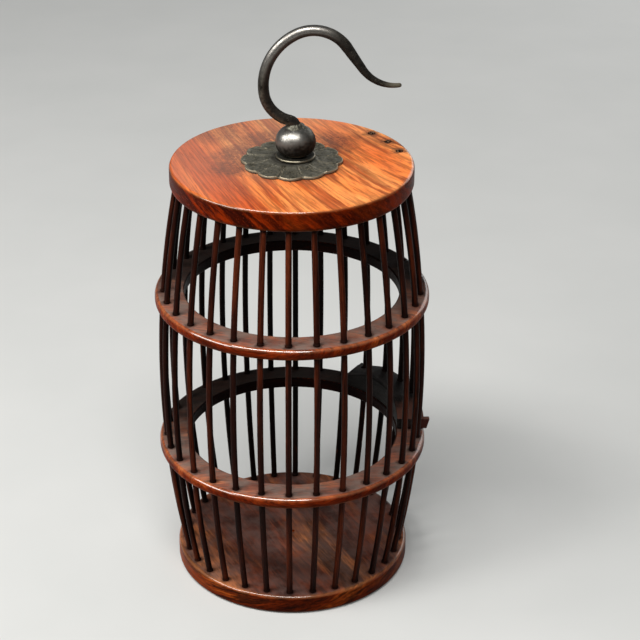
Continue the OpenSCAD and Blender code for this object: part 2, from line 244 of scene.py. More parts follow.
class NodeSheet:
    """Adds and wires nodes in one node tree."""

    def __init__(self, tree: Tree) -> None:
        """Keeps the tree to work in."""
        self.tree = tree

    def put(self, socket: Socket, value: object) -> None:
        """Links an output to an input, or sets the input's own value.

        Args:
            socket: the input.
            value: an output, or a plain value.
        """
        if isinstance(value, Socket):
            self.tree.links.new(value, socket)
        else:
            socket.default_value = value

    def add(self, kind: str, *values: object, **settings: object) -> bpy.types.Node:
        """Adds a node.

        Args:
            kind: Blender's type name of the node.
            values: what its first inputs get, in order.
            settings: properties to set on it.

        Returns:
            The node.
        """
        node = self.tree.nodes.new(kind)
        for key, value in settings.items():
            setattr(node, key, value)
        for socket, value in zip(node.inputs, values):
            self.put(socket, value)
        return node

    def feed(self, node: bpy.types.Node, **values: object) -> None:
        """Feeds a node's inputs by name, with _ for a space."""
        for key, value in values.items():
            self.put(node.inputs[key.replace("_", " ")], value)

    def math(self, operation: str, *values: object, clamp: bool = False) -> Socket:
        """Works out numbers, if asked with the result held between 0 and 1."""
        return self.add("ShaderNodeMath", *values, operation=operation, use_clamp=clamp).outputs[0]

    def times(self, *values: object) -> Socket:
        """Multiplies numbers in order."""
        return reduce(lambda a, b: self.math("MULTIPLY", a, b), values)

    def plus(self, value: object, *parts: object) -> Socket:
        """Adds the product of some parts to a number."""
        return self.math("ADD", value, self.times(*parts))

    def vector(self, operation: str, *values: object) -> Socket:
        """Works out vectors; lengths, products and distances come as a number."""
        node = self.add("ShaderNodeVectorMath", *values, operation=operation)
        return node.outputs["Value" if operation in ("LENGTH", "DOT_PRODUCT", "DISTANCE") else "Vector"]

    def split(self, vector: Socket) -> list[Socket]:
        """Splits a vector into its three numbers."""
        return list(self.add("ShaderNodeSeparateXYZ", vector).outputs)

    def join(self, x: object, y: object, z: object) -> Socket:
        """Joins three numbers into a vector."""
        return self.add("ShaderNodeCombineXYZ", x, y, z).outputs[0]

    def level(self, vector: Socket) -> Socket:
        """Takes the height out of a vector."""
        x, y, _ = self.split(vector)
        return self.join(x, y, 0.0)

    def away(self, vector: Socket) -> Socket:
        """Gives the distance from the upright axis."""
        return self.vector("LENGTH", self.level(vector))

    def shrink(self, vector: Socket, size: Socket, steps: float = 1.0) -> Socket:
        """Scales coordinates so that a size holds a count of steps."""
        per = self.math("DIVIDE", steps, size)
        return self.vector("MULTIPLY", vector, self.join(per, per, per))

    def noise(
        self, vector: Socket, stretch: float | Point, detail: float = 2.0, rough: float = 0.5
    ) -> Socket:
        """Adds cloud noise.

        Args:
            vector: coordinates.
            stretch: steps of noise per unit, one for all axes or one for each.
            detail: octaves.
            rough: weight of the finer octaves.

        Returns:
            Noise around 0.5.
        """
        steps = stretch if isinstance(stretch, tuple) else (stretch,) * 3
        node = self.add("ShaderNodeTexNoise", self.vector("MULTIPLY", vector, steps))
        self.feed(node, Scale=1.0, Detail=detail, Roughness=rough)
        return node.outputs[0]

    def wobble(self, vector: Socket, stretch: float | Point, detail: float, rough: float = 0.5) -> Socket:
        """Adds cloud noise around 0."""
        return self.math("SUBTRACT", self.noise(vector, stretch, detail, rough), 0.5)

    def between(self, value: Socket, low: object, high: object, *results: float) -> Socket:
        """Maps a range smoothly to the results at its ends, 0 and 1 if none are given."""
        values = (value, low, high, *(results or (0.0, 1.0)))
        return self.add("ShaderNodeMapRange", *values, interpolation_type="SMOOTHSTEP").outputs[0]

    def blend(self, factor: object, first: object, second: object, mode: str = "MIX") -> Socket:
        """Blends two colours.

        Args:
            factor: share of the second colour.
            first: colour at 0.
            second: colour at 1.
            mode: Blender's blend mode.

        Returns:
            The blended colour.
        """
        node = self.add("ShaderNodeMix", data_type="RGBA", blend_type=mode)
        for i, value in ((0, factor), (6, first), (7, second)):
            self.put(node.inputs[i], value)
        return node.outputs[2]

    def ramp(self, factor: Socket, *stops: tuple[float, Colour]) -> Socket:
        """Turns a number into a colour.

        Args:
            factor: the number.
            stops: numbers and their colours, from low to high.

        Returns:
            The colour.
        """
        node = self.add("ShaderNodeValToRGB", factor)
        steps = node.color_ramp.elements
        while len(steps) < len(stops):
            steps.new(1.0)
        for step, (at, colour) in zip(steps, stops):
            step.position, step.color = at, colour
        return node.outputs[0]

    def place(self, tree: Tree, **values: object) -> dict[str, Socket]:
        """Places a shared group.

        Args:
            tree: the group.
            values: its inputs by name, with _ for a space.

        Returns:
            Its outputs by name.
        """
        node = self.add("ShaderNodeGroup", node_tree=tree)
        self.feed(node, **values)
        return {out.name: out for out in node.outputs}

    def position(self) -> Socket:
        """Gives the piece's own coordinates in millimetres."""
        return self.vector("MULTIPLY", self.add("ShaderNodeTexCoord").outputs["Object"], (1 / MM,) * 3)

    def normal(self) -> Socket:
        """Gives the way that the surface looks, in the piece's own frame."""
        return self.add("ShaderNodeTexCoord").outputs["Normal"]

    def facing_up(self) -> Socket:
        """Gives 1 on faces that look up, 0 on walls and -1 underneath."""
        return self.split(self.normal())[2]

    def facing_out(self, vector: Socket) -> Socket:
        """Gives 1 on faces that look away from the upright axis and -1 on those that look to it."""
        return self.vector("DOT_PRODUCT", self.vector("NORMALIZE", self.level(vector)), self.normal())

    def stored(self, name: str) -> Socket:
        """Reads a number stored on the piece's points."""
        return self.add("ShaderNodeAttribute", attribute_name=name).outputs["Fac"]

    def turn(self, vector: Socket, x: float = 0.0, z: float = 0.0) -> Socket:
        """Turns coordinates about X and Z by degrees.

        Args:
            vector: coordinates.
            x: degrees about X.
            z: degrees about Z.

        Returns:
            The turned coordinates.
        """
        node = self.add("ShaderNodeMapping", vector)
        node.inputs["Rotation"].default_value = (math.radians(x), 0.0, math.radians(z))
        return node.outputs[0]


class Effects:
    """Surface effects that several finishes share, each one node group made once."""

    def __init__(self) -> None:
        """Builds every group."""
        self.grain = self._grain()
        self.feet = self._feet()
        self.spot = self._spot()
        self.rim = self._rim()
        self.dust = self._dust()
        self.age = self._age()

    @staticmethod
    def _open(
        name: str, inputs: dict[str, object], outputs: Sequence[str] = ("Mask",)
    ) -> tuple[NodeSheet, dict[str, Socket], dict[str, Socket]]:
        """Starts a group that takes coordinates.

        Args:
            name: name of the group.
            inputs: names and default values of its other inputs; a triple makes a vector input.
            outputs: names of its number outputs.

        Returns:
            The sheet, the inputs to read and the outputs to feed, by name.
        """
        tree = bpy.data.node_groups.new(name, "ShaderNodeTree")
        for key, value in {"Vector": (0.0, 0.0, 0.0), **inputs}.items():
            kind = "NodeSocketVector" if isinstance(value, tuple) else "NodeSocketFloat"
            tree.interface.new_socket(key, in_out="INPUT", socket_type=kind).default_value = value
        for key in outputs:
            tree.interface.new_socket(key, in_out="OUTPUT", socket_type="NodeSocketFloat")
        sheet = NodeSheet(tree)
        ins, outs = sheet.add("NodeGroupInput"), sheet.add("NodeGroupOutput")
        return sheet, {s.name: s for s in ins.outputs}, {s.name: s for s in outs.inputs}

    def _grain(self) -> Tree:
        """Makes long wood grain along X in layers across Y.

        Returns:
            The group: broad tone, streaks, fine lines and open pores.
        """
        outputs = ("Tone", "Streak", "Fine", "Pore")
        s, i, o = self._open("wood_grain", {"Streak Width": 3.0, "Wander": 2.0}, outputs)
        drift = s.times(s.wobble(i["Vector"], (0.013, 0.045, 0.045), 1.0), i["Wander"])
        bent = s.vector("ADD", i["Vector"], s.join(0.0, drift, drift))
        at = s.shrink(bent, i["Streak Width"])
        s.put(o["Tone"], s.noise(at, (0.024, 0.19, 0.06), 3.0, 0.6))
        s.put(o["Streak"], s.between(s.noise(at, (0.03, 0.8, 0.2), 6.0, 0.64), 0.5, 0.6))
        s.put(o["Fine"], s.noise(at, (0.15, 3.3, 0.8), 4.0, 0.68))
        s.put(o["Pore"], s.between(s.noise(at, (0.45, 7.5, 4.5), 1.0), 0.6, 0.74))
        return s.tree

    def _feet(self) -> Tree:
        """Makes the dark glue stain round the foot of every bar on a ring of places.

        Returns:
            The group.
        """
        s, i, o = self._open("bar_foot_stain", {"Ring": 64.0, "Pitch": 0.2, "Reach": 4.0})
        x, y, _ = s.split(i["Vector"])
        turn = s.math("DIVIDE", s.math("ARCTAN2", x, s.times(y, -1.0)), i["Pitch"])
        off = s.math("SUBTRACT", turn, s.math("ROUND", turn))
        side = s.times(off, i["Pitch"], i["Ring"])
        near = s.vector("LENGTH", s.join(side, s.math("SUBTRACT", s.away(i["Vector"]), i["Ring"]), 0.0))
        near = s.plus(near, s.wobble(i["Vector"], 0.35, 3.0), i["Reach"])
        s.put(o["Mask"], s.between(near, i["Reach"], 1.5))
        return s.tree

    def _spot(self) -> Tree:
        """Makes one ragged soft-edged spot.

        Returns:
            The group.
        """
        s, i, o = self._open("ragged_spot", {"Centre": (0.0, 0.0, 0.0), "Radius": 10.0, "Ragged": 1.0})
        rough = s.wobble(s.shrink(i["Vector"], i["Radius"], 1.3), 1.0, 4.0, 0.6)
        away = s.plus(s.vector("DISTANCE", i["Vector"], i["Centre"]), rough, i["Radius"], i["Ragged"])
        s.put(o["Mask"], s.between(away, i["Radius"], s.times(i["Radius"], 0.2)))
        return s.tree

    def _rim(self) -> Tree:
        """Makes the rubbed outer edges of a turned disc or ring.

        Returns:
            The group.
        """
        s, i, o = self._open("rubbed_rim", {"Radius": 60.0, "Low": 0.0, "High": 10.0, "Reach": 2.0})
        z = s.split(i["Vector"])[2]
        low, high = (s.math("ABSOLUTE", s.math("SUBTRACT", z, i[edge])) for edge in ("Low", "High"))
        deep = s.math("SUBTRACT", i["Radius"], s.away(i["Vector"]))
        inset = s.math("MAXIMUM", deep, s.math("MINIMUM", low, high))
        inset = s.plus(inset, s.wobble(i["Vector"], (0.16, 0.16, 0.5), 4.0, 0.6), i["Reach"])
        s.put(o["Mask"], s.between(inset, i["Reach"], s.times(i["Reach"], 0.2)))
        return s.tree

    def _dust(self) -> Tree:
        """Makes settled dust on faces that look up.

        Returns:
            The group.
        """
        s, i, o = self._open("settled_dust", {"Up": 1.0, "Patchy": 0.5})
        patch = s.between(s.noise(i["Vector"], 0.09, 4.0, 0.62), 0.32, 0.66)
        bare = s.times(i["Patchy"], s.math("SUBTRACT", 1.0, patch))
        s.put(o["Mask"], s.times(s.between(i["Up"], 0.9, 0.985), s.math("SUBTRACT", 1.0, bare)))
        return s.tree

    def _age(self) -> Tree:
        """Makes old cast metal.

        Returns:
            The group: patina clouds, pits, warm specks and a height for the bump.
        """
        s, i, o = self._open("aged_metal", {"Pit Size": 1.0}, ("Patina", "Pits", "Specks", "Height"))
        at = s.shrink(i["Vector"], i["Pit Size"])
        pits = s.between(s.noise(at, 1.15, 3.0, 0.6), 0.57, 0.72)
        s.put(o["Patina"], s.noise(at, 0.22, 5.0, 0.62))
        s.put(o["Pits"], pits)
        s.put(o["Specks"], s.between(s.noise(at, 0.95, 4.0, 0.7), 0.63, 0.74))
        s.put(o["Height"], s.math("SUBTRACT", s.times(s.noise(at, 3.1, 3.0, 0.6), 0.4), pits))
        return s.tree


# Finishes


@dataclass
class Paint:
    """A surface while it is painted: its sheet, the shared effects, its place and what it has so far."""

    s: NodeSheet
    fx: Effects
    at: Socket
    colour: object = None
    rough: object = None
    height: object = None
    metallic: object = 0.0
    coat: object = 0.0

    def cover(self, code: str, *shares: object) -> None:
        """Lays a colour on by the product of some shares."""
        self.colour = self.s.blend(self.s.times(*shares), self.colour, tint(code))

    def dull(self, mask: Socket, by: float) -> None:
        """Roughens the surface by a mask."""
        self.rough = self.s.plus(self.rough, mask, by)

    def mask(self, tree: Tree, **values: object) -> Socket:
        """Places a shared group on the surface and gives its mask."""
        return self.s.place(tree, Vector=self.at, **values)["Mask"]

    def shades(self, tone: Socket, *codes: str) -> Socket:
        """Turns a broad tone into a dark, middle or pale colour."""
        return self.s.ramp(tone, *((at, tint(code)) for at, code in zip(SHADE_STOPS, codes)))


@dataclass(frozen=True, kw_only=True)
class Finish:
    """Base of all finishes: wires a painted surface into one Principled shader."""

    name: str
    specular: float
    bump: float = 0.12
    coat_roughness: float = 0.16
    coat_ior: float = 1.5

    def paint(self, p: Paint) -> None:
        """Paints the surface; each finish has its own."""
        raise NotImplementedError

    def make(self, fx: Effects) -> Material:
        """Makes the material.

        Args:
            fx: the shared effects.

        Returns:
            The finished material.
        """
        material = bpy.data.materials.new(self.name)
        material.use_nodes = True
        s = NodeSheet(material.node_tree)
        p = Paint(s, fx, s.position())
        self.paint(p)
        relief = s.add("ShaderNodeBump")
        s.feed(relief, Strength=1.0, Distance=self.bump * MM, Height=p.height)
        s.feed(
            material.node_tree.nodes["Principled BSDF"],
            Base_Color=p.colour,
            Roughness=p.rough,
            Metallic=p.metallic,
            Coat_Weight=p.coat,
            Coat_Roughness=self.coat_roughness,
            Coat_IOR=self.coat_ior,
            Specular_IOR_Level=self.specular,
            Normal=relief.outputs["Normal"],
        )
        return material


@dataclass(frozen=True, kw_only=True)
class Wood(Finish):
    """Waxed wood with streaked grain, sawn straight through the piece."""

    pale: str
    mid: str
    dark: str
    streak: str
    streak_width: float
    gloss: tuple[float, float]
    streak_share: float = 0.7
    pore_share: float = 0.5
    wander: float = 3.0
    heading: float = 0.0
    tilt: float = 30.0
    curl: float = 0.0
    lines: tuple[float, float] = (0.72, 1.2)

    def along(self, p: Paint) -> Socket:
        """Turns millimetre coordinates so that X runs with the grain.

        Args:
            p: the surface.

        Returns:
            Coordinates for the grain.
        """
        s = p.s
        x, y, z = s.split(p.at)
        curled = s.join(x, s.math("SUBTRACT", y, s.times(x, x, self.curl)), z)
        return s.turn(s.turn(curled, z=-self.heading), x=self.tilt)

    def shade(self, p: Paint, tone: Socket) -> Socket:
        """Shifts the broad tone over the piece; plain wood keeps it."""
        return tone

    def ground(self, p: Paint, tone: Socket) -> Socket:
        """Turns the broad tone into the wood's own colour."""
        return p.shades(tone, self.dark, self.mid, self.pale)

    def stain(self, p: Paint) -> None:
        """Adds what the wood has picked up; plain wood has nothing."""

    def waxed(self, p: Paint, fine: Socket) -> object:
        """Says how much wax gloss lies on the wood; plain wood has none."""
        return 0.0

    def paint(self, p: Paint) -> None:
        """Paints grain, pores, stains and polish.

        Args:
            p: the surface.
        """
        s = p.s
        grain = s.place(p.fx.grain, Vector=self.along(p), Streak_Width=self.streak_width, Wander=self.wander)
        fine, pore = grain["Fine"], grain["Pore"]
        p.colour = self.ground(p, self.shade(p, grain["Tone"]))
        p.cover(self.streak, grain["Streak"], self.streak_share)
        lines = s.between(fine, 0.37, 0.63, *self.lines)
        p.colour = s.blend(1.0, p.colour, s.join(lines, lines, lines), "MULTIPLY")
        p.cover(self.streak, pore, self.pore_share)
        p.rough = s.between(fine, 0.25, 0.75, *self.gloss)
        self.stain(p)
        p.height = s.math("SUBTRACT", s.times(fine, 0.35), pore)
        p.coat = self.waxed(p, fine)


@dataclass(frozen=True, kw_only=True)
class TurnedWood(Wood):
    """Wood of a board or hoop, with deeper walls, rubbed rims, glue round the bars, dust and a painted
    shadow on the rear upper faces.
    """

    radius: float
    low: float
    high: float
    ring: float
    pitch: float
    wall: tuple[str, str, str]
    dusty: str
    dust_share: float
    patchy: float = 0.6
    glue: str = "2a1711"
    glue_reach: float = 3.6
    glue_share: float = 0.6
    rear_shadow: str = "1f1b19"
    rear_shadow_share: float = 0.0
    inner: str = "080404"
    inside: float = 0.0
    rub: str = "d98a50"
    rub_reach: float = 1.9
    rub_share: float = 0.25
    wax: float = 0.0

    def ground(self, p: Paint, tone: Socket) -> Socket:
        """Gives the walls a deeper colour than the faces."""
        face, side = super().ground(p, tone), p.shades(tone, *self.wall)
        return p.s.blend(p.s.between(p.s.facing_up(), 0.9, 0.45), face, side)

    def stain(self, p: Paint) -> None:
        """Adds dust, glue stains, a painted shadow on the rear upper faces, dark inner walls and rubbed
        rims.

        Args:
            p: the surface.
        """
        s, fx = p.s, p.fx
        up = s.facing_up()
        dust = s.times(p.mask(fx.dust, Up=up, Patchy=self.patchy), self.dust_share)
        p.cover(self.dusty, dust)
        p.dull(dust, 0.3)
        feet = p.mask(fx.feet, Ring=self.ring, Pitch=self.pitch, Reach=self.glue_reach)
        p.cover(self.glue, feet, self.glue_share)
        if self.rear_shadow_share:
            # Painted shadow: the upper faces darken towards the back, where the boards above shade them.
            back = s.plus(s.split(p.at)[1], s.wobble(p.at, 0.06, 4.0, 0.6), 50.0)
            p.cover(self.rear_shadow, s.between(back, -28.0, 24.0, 0.0, self.rear_shadow_share), s.between(up, 0.5, 0.85))
        if self.inside:
            p.cover(self.inner, s.between(s.away(p.at), self.inside + 1.0, self.inside + 0.2, 0.0, 0.97))
        rub = p.mask(fx.rim, Radius=self.radius, Low=self.low, High=self.high, Reach=self.rub_reach)
        p.cover(self.rub, rub, self.rub_share)

    def waxed(self, p: Paint, fine: Socket) -> Socket:
        """Puts the gloss on the upper rims, where hands polish them.

        Args:
            p: the surface.
            fine: fine lines of the grain.

        Returns:
            Share of wax gloss.
        """
        s = p.s
        up = s.facing_up()
        rounded = s.times(s.between(up, 0.3, 0.5), s.between(up, 0.99, 0.94))
        share = s.times(s.between(s.away(p.at), self.radius - 3.2, self.radius - 1.6), rounded)
        if self.wax:
            share = s.math("MAXIMUM", share, s.between(up, 0.94, 0.99, 0.0, self.wax))
        return s.times(share, s.between(fine, 0.3, 0.7, 0.8, 1.0))


@dataclass(frozen=True)
class Spot:
    """A smoky spot on the top board; the broad one at the back is painted shade."""

    x: float
    y: float
    radius: float
    share: float


@dataclass(frozen=True, kw_only=True)
class TopWood(TurnedWood):
    """The top board's bright face, smoked round the metal plate, darkened at the back by painted shade,
    greyed towards the back left by a painted sheen, and marked at the door bars.
    """

    door_ends: tuple[Point, ...]
    paler: Point = (0.0026, 0.0005, 0.0)
    smoke_and_shade: tuple[Spot, ...] = (
        Spot(-26.0, 9.0, 19.0, 1.0),
        Spot(-27.0, -7.0, 17.0, 1.0),
        Spot(20.0, 24.0, 19.0, 0.9),
        Spot(-16.0, 27.0, 19.0, 0.85),
        # Painted shade: this broad spot darkens the back of the board.
        Spot(-34.0, 40.0, 28.0, 0.6),
        Spot(-4.0, 4.0, 37.0, 0.7),
    )
    smoked: str = "a88f80"
    sooty: str = "5a3d30"
    speck: str = "2c1d17"
    sheen_tint: str = "ae887a"
    sheen_tint_way: Point = (-0.8, 0.6, 0.0)
    grime: str = "4d3a2d"

    def shade(self, p: Paint, tone: Socket) -> Socket:
        """Makes the board's right paler than its left."""
        return p.s.math("ADD", tone, p.s.vector("DOT_PRODUCT", p.at, self.paler))

    def stain(self, p: Paint) -> None:
        """Adds smoky stains with painted shade at the back, a painted sheen towards the back left and the
        door bars' grime to the turned wood's own stains.

        Args:
            p: the surface.
        """
        super().stain(p)
        s, spot = p.s, p.fx.spot
        masks = [
            s.times(p.mask(spot, Centre=(c.x, c.y, self.high), Radius=c.radius, Ragged=1.1), c.share)
            for c in self.smoke_and_shade
        ]
        smoke_and_shade = reduce(lambda a, b: s.math("MAXIMUM", a, b), masks)
        lines = s.noise(self.along(p), (0.05, 0.9, 0.3), 4.0, 0.65)
        smoke_and_shade = s.math("MULTIPLY", smoke_and_shade, s.between(lines, 0.32, 0.62, 0.6, 1.3), clamp=True)
        mottle = s.between(s.noise(p.at, 0.7, 3.0, 0.65), 0.36, 0.64, 0.7, 1.2)
        smoke_and_shade = s.math("MULTIPLY", smoke_and_shade, mottle, clamp=True)
        sooty = s.blend(0.5, s.blend(1.0, p.colour, tint(self.smoked), "MULTIPLY"), tint(self.sooty))
        p.colour = s.blend(smoke_and_shade, p.colour, sooty)
        p.cover(self.speck, s.between(s.noise(p.at, 0.55, 4.0, 0.7), 0.56, 0.66), smoke_and_shade, 0.7)
        p.dull(smoke_and_shade, 0.12)
        # Painted sheen: the face greys towards the back left, standing in for a reflection on its polish.
        far = s.vector("DOT_PRODUCT", p.at, self.sheen_tint_way)
        p.cover(self.sheen_tint, s.between(far, -30.0, 35.0, 0.0, 0.4), s.between(s.facing_up(), 0.9, 0.99))
        for end in self.door_ends:
            p.cover(self.grime, p.mask(spot, Centre=end, Radius=5.2, Ragged=1.8), 0.8)


@dataclass(frozen=True, kw_only=True)
class BarWood(Wood):
    """Dark wood of the bars: each bar its own tone, with dirty glued feet."""

    middle: float
    bow_rate: float
    top: float
    inner: str = "0a0504"
    foot: str = "190d0a"
    tip: str = "7d6450"
    rubbed: str = "7c3a1e"

    def along(self, p: Paint) -> Socket:
        """Straightens the bow of the bars, so that X runs along each bar.

        Args:
            p: the surface.

        Returns:
            Coordinates for the grain.
        """
        s = p.s
        x, y, z = s.split(p.at)
        lift = s.math("SUBTRACT", z, self.middle)
        spread = s.plus(1.0, lift, lift, self.bow_rate)
        return s.join(z, s.times(x, spread), s.times(y, spread))

    def shade(self, p: Paint, tone: Socket) -> Socket:
        """Gives neighbouring bars different tones."""
        return p.s.plus(p.s.times(tone, 0.3), p.s.noise(p.at, (0.11, 0.11, 0.004), 1.0), 0.7)

    def stain(self, p: Paint) -> None:
        """Blackens the inner sides, dulls the feet and dusts the tips in the top board.

        Args:
            p: the surface.
        """
        s = p.s
        p.cover(self.inner, s.between(s.facing_out(p.at), 0.3, -0.3, 0.0, 0.92))
        foot = s.stored("foot")
        p.cover(self.foot, foot, 0.8)
        p.dull(foot, 0.12)
        tip = s.between(s.split(p.at)[2], self.top - 0.2, self.top + 0.3)
        p.cover(self.tip, tip, s.between(s.noise(p.at, 0.8, 4.0, 0.7), 0.42, 0.62))
        p.cover(self.rubbed, s.between(s.noise(p.at, (0.5, 0.5, 0.045), 4.0, 0.65), 0.6, 0.76), 0.3)


@dataclass(frozen=True, kw_only=True)
class RailWood(Wood):
    """Black wood of the door's rail, worn brown and dusty towards its near end."""

    azimuth: float
    outer: Colour = (5.0, 2.3, 1.6, 1.0)
    inner: str = "080605"
    worn: str = "6a4438"
    end: str = "4a1a12"

    def stain(self, p: Paint) -> None:
        """Adds the browner outer face, the black inner face, the worn slope and the red end face.

        Args:
            p: the surface.
        """
        s = p.s
        near = (math.sin(self.azimuth), -math.cos(self.azimuth), 0.0)
        aside = s.plus(s.vector("DOT_PRODUCT", p.at, near), s.wobble(p.at, 0.3, 4.0, 0.6), 8.0)
        up, out = s.facing_up(), s.facing_out(p.at)
        browner = s.blend(1.0, p.colour, self.outer, "MULTIPLY")
        p.colour = s.blend(s.between(out, 0.3, 0.8), p.colour, browner)
        p.cover(self.inner, s.between(out, -0.3, -0.8, 0.0, 0.8))
        worn = s.times(s.between(aside, 16.0, 23.0), s.between(up, 0.5, 0.9))
        p.cover(self.worn, worn, 0.85)
        p.cover(self.end, s.between(aside, 29.0, 32.5), s.between(up, 0.6, 0.3), 0.85)
        p.dull(worn, 0.1)


@dataclass(frozen=True, kw_only=True)
class Pewter(Finish):
    """Dark pewter with patina, pits, warm specks, polish with a painted highlight and grime with painted
    shade.
    """

    bright: str
    dull: str
    gloss: tuple[float, float]
    specular: float = 0.12
    grime: str = "14110f"
    warm: str = "a58a55"
    shine: str = "bcb8b2"
    rubbed: str = "c6bba0"
    pit_size: float = 1.0
    speck_share: float = 0.35

    def paint(self, p: Paint) -> None:
        """Paints patina, pitting, grime with painted shade, polish with a painted highlight and rubbed
        places.

        Args:
            p: the surface.
        """
        s = p.s
        age = s.place(p.fx.age, Vector=p.at, Pit_Size=self.pit_size)
        patina = age["Patina"]
        pitted, worn, polished, grimy = (s.stored(kind) for kind in WEAR_KINDS)
        p.colour = s.ramp(patina, (0.32, tint(self.dull)), (0.62, tint(self.bright)))
        polish = s.times(polished, s.between(patina, 0.3, 0.55, 0.75, 1.0))
        # Painted highlight: the pale shine is laid where the polish is marked, on the places that catch the
        # lamps.
        p.cover(self.shine, polish)
        p.cover(self.grime, age["Pits"], pitted, 0.75)
        # The marked grime is laid on here; on the rod's lower side and the undersides of the ball and the
        # plate it is painted shade.
        p.cover(self.grime, grimy)
        p.cover(self.warm, age["Specks"], pitted, self.speck_share)
        p.cover(self.rubbed, worn, 0.8)
        p.rough = s.between(patina, 0.3, 0.7, *reversed(self.gloss))
        p.dull(polish, -0.06)
        p.dull(pitted, 0.22)
        p.rough = s.math("ADD", p.rough, s.times(grimy, 0.2), clamp=True)
        p.height = s.times(age["Height"], s.math("ADD", 0.04, pitted))
        p.metallic = s.between(grimy, 0.2, 1.0, 1.0, 0.1)


# Sizes


@dataclass(frozen=True)
class CageSizes:
    """Main sizes of the cage, in millimetres."""

    board_d: float = 120.0
    top_inset: float = 1.0
    base_t: float = 10.4
    top_t: float = 10.7
    hoop_d: float = 136.0
    hoop_w: float = 14.7
    hoop_t: float = 5.8
    low_tier: float = 57.2
    mid_tier: float = 76.0
    top_tier: float = 56.0
    bar_d: float = 3.0
    hoop_edge: float = 4.1
    foot_edge: float = 4.2
    socket: float = 5.7
    places: int = 30
    door_place: int = 10
    guide_steps: int = 2
    plate_t: float = 2.4
    shank_off: float = 1.8

    @property
    def low_hoop_z(self) -> float:
        """Underside of the lower hoop."""
        return self.base_t + self.low_tier

    @property
    def up_hoop_z(self) -> float:
        """Underside of the upper hoop."""
        return self.low_hoop_z + self.hoop_t + self.mid_tier

    @property
    def top_z(self) -> float:
        """Underside of the top board."""
        return self.up_hoop_z + self.hoop_t + self.top_tier

    @property
    def cage_h(self) -> float:
        """Upper face of the top board."""
        return self.top_z + self.top_t

    @property
    def z_mid(self) -> float:
        """Height of the bars' widest place."""
        return (self.base_t + self.top_z) / 2

    @property
    def foot_r(self) -> float:
        """Radius of the bar circle on the base board."""
        return self.board_d / 2 - self.foot_edge

    @property
    def ring_r(self) -> float:
        """Radius of the bar circle on the hoops."""
        return self.hoop_d / 2 - self.hoop_edge

    @property
    def arc_c(self) -> float:
        """Distance of the bars' far centre from the axis, negative across it.

        Returns:
            The distance.
        """
        half = self.z_mid - self.base_t
        down = self.low_hoop_z + self.hoop_t / 2 - self.z_mid
        return (self.foot_r**2 + half**2 - self.ring_r**2 - down**2) / (2 * (self.foot_r - self.ring_r))

    @property
    def arc_r(self) -> float:
        """Radius of the bars' arc."""
        return math.hypot(self.foot_r - self.arc_c, self.z_mid - self.base_t)

    @property
    def bow_rate(self) -> float:
        """How fast the bars draw in from their widest place, per square millimetre of height."""
        return 1 / (2 * self.arc_r * (self.arc_c + self.arc_r))

    @property
    def pitch(self) -> float:
        """Angle between neighbouring places, in radians."""
        return 2 * math.pi / self.places

    def azimuth(self, place: int) -> float:
        """Angle of a place from +X, in radians."""
        return place * self.pitch - math.pi / 2

    def side_y(self, j: int) -> float:
        """Sideways place of a door bar."""
        return self.ring_r * math.sin(j * self.pitch)

    def side_r(self, j: int) -> float:
        """Arc radius of a door bar; 0 gives that of every other bar too."""
        return self.arc_r - self.ring_r * (1 - math.cos(j * self.pitch))

    def bow(self, z: float, arc: float) -> tuple[float, float]:
        """Gives an arc's distance from the axis at a height, and its lean there in radians."""
        lean = math.asin((z - self.z_mid) / arc)
        return self.arc_c + arc * math.cos(lean), lean

    def door_end(self, j: int) -> Point:
        """Finds where a door bar comes out of the top board.

        Args:
            j: steps from the door's middle bar.

        Returns:
            The point.
        """
        a = self.azimuth(self.door_place)
        x, y = self.bow(self.cage_h, self.side_r(j))[0], self.side_y(j)
        return (x * math.cos(a) - y * math.sin(a), x * math.sin(a) + y * math.cos(a), self.cage_h)


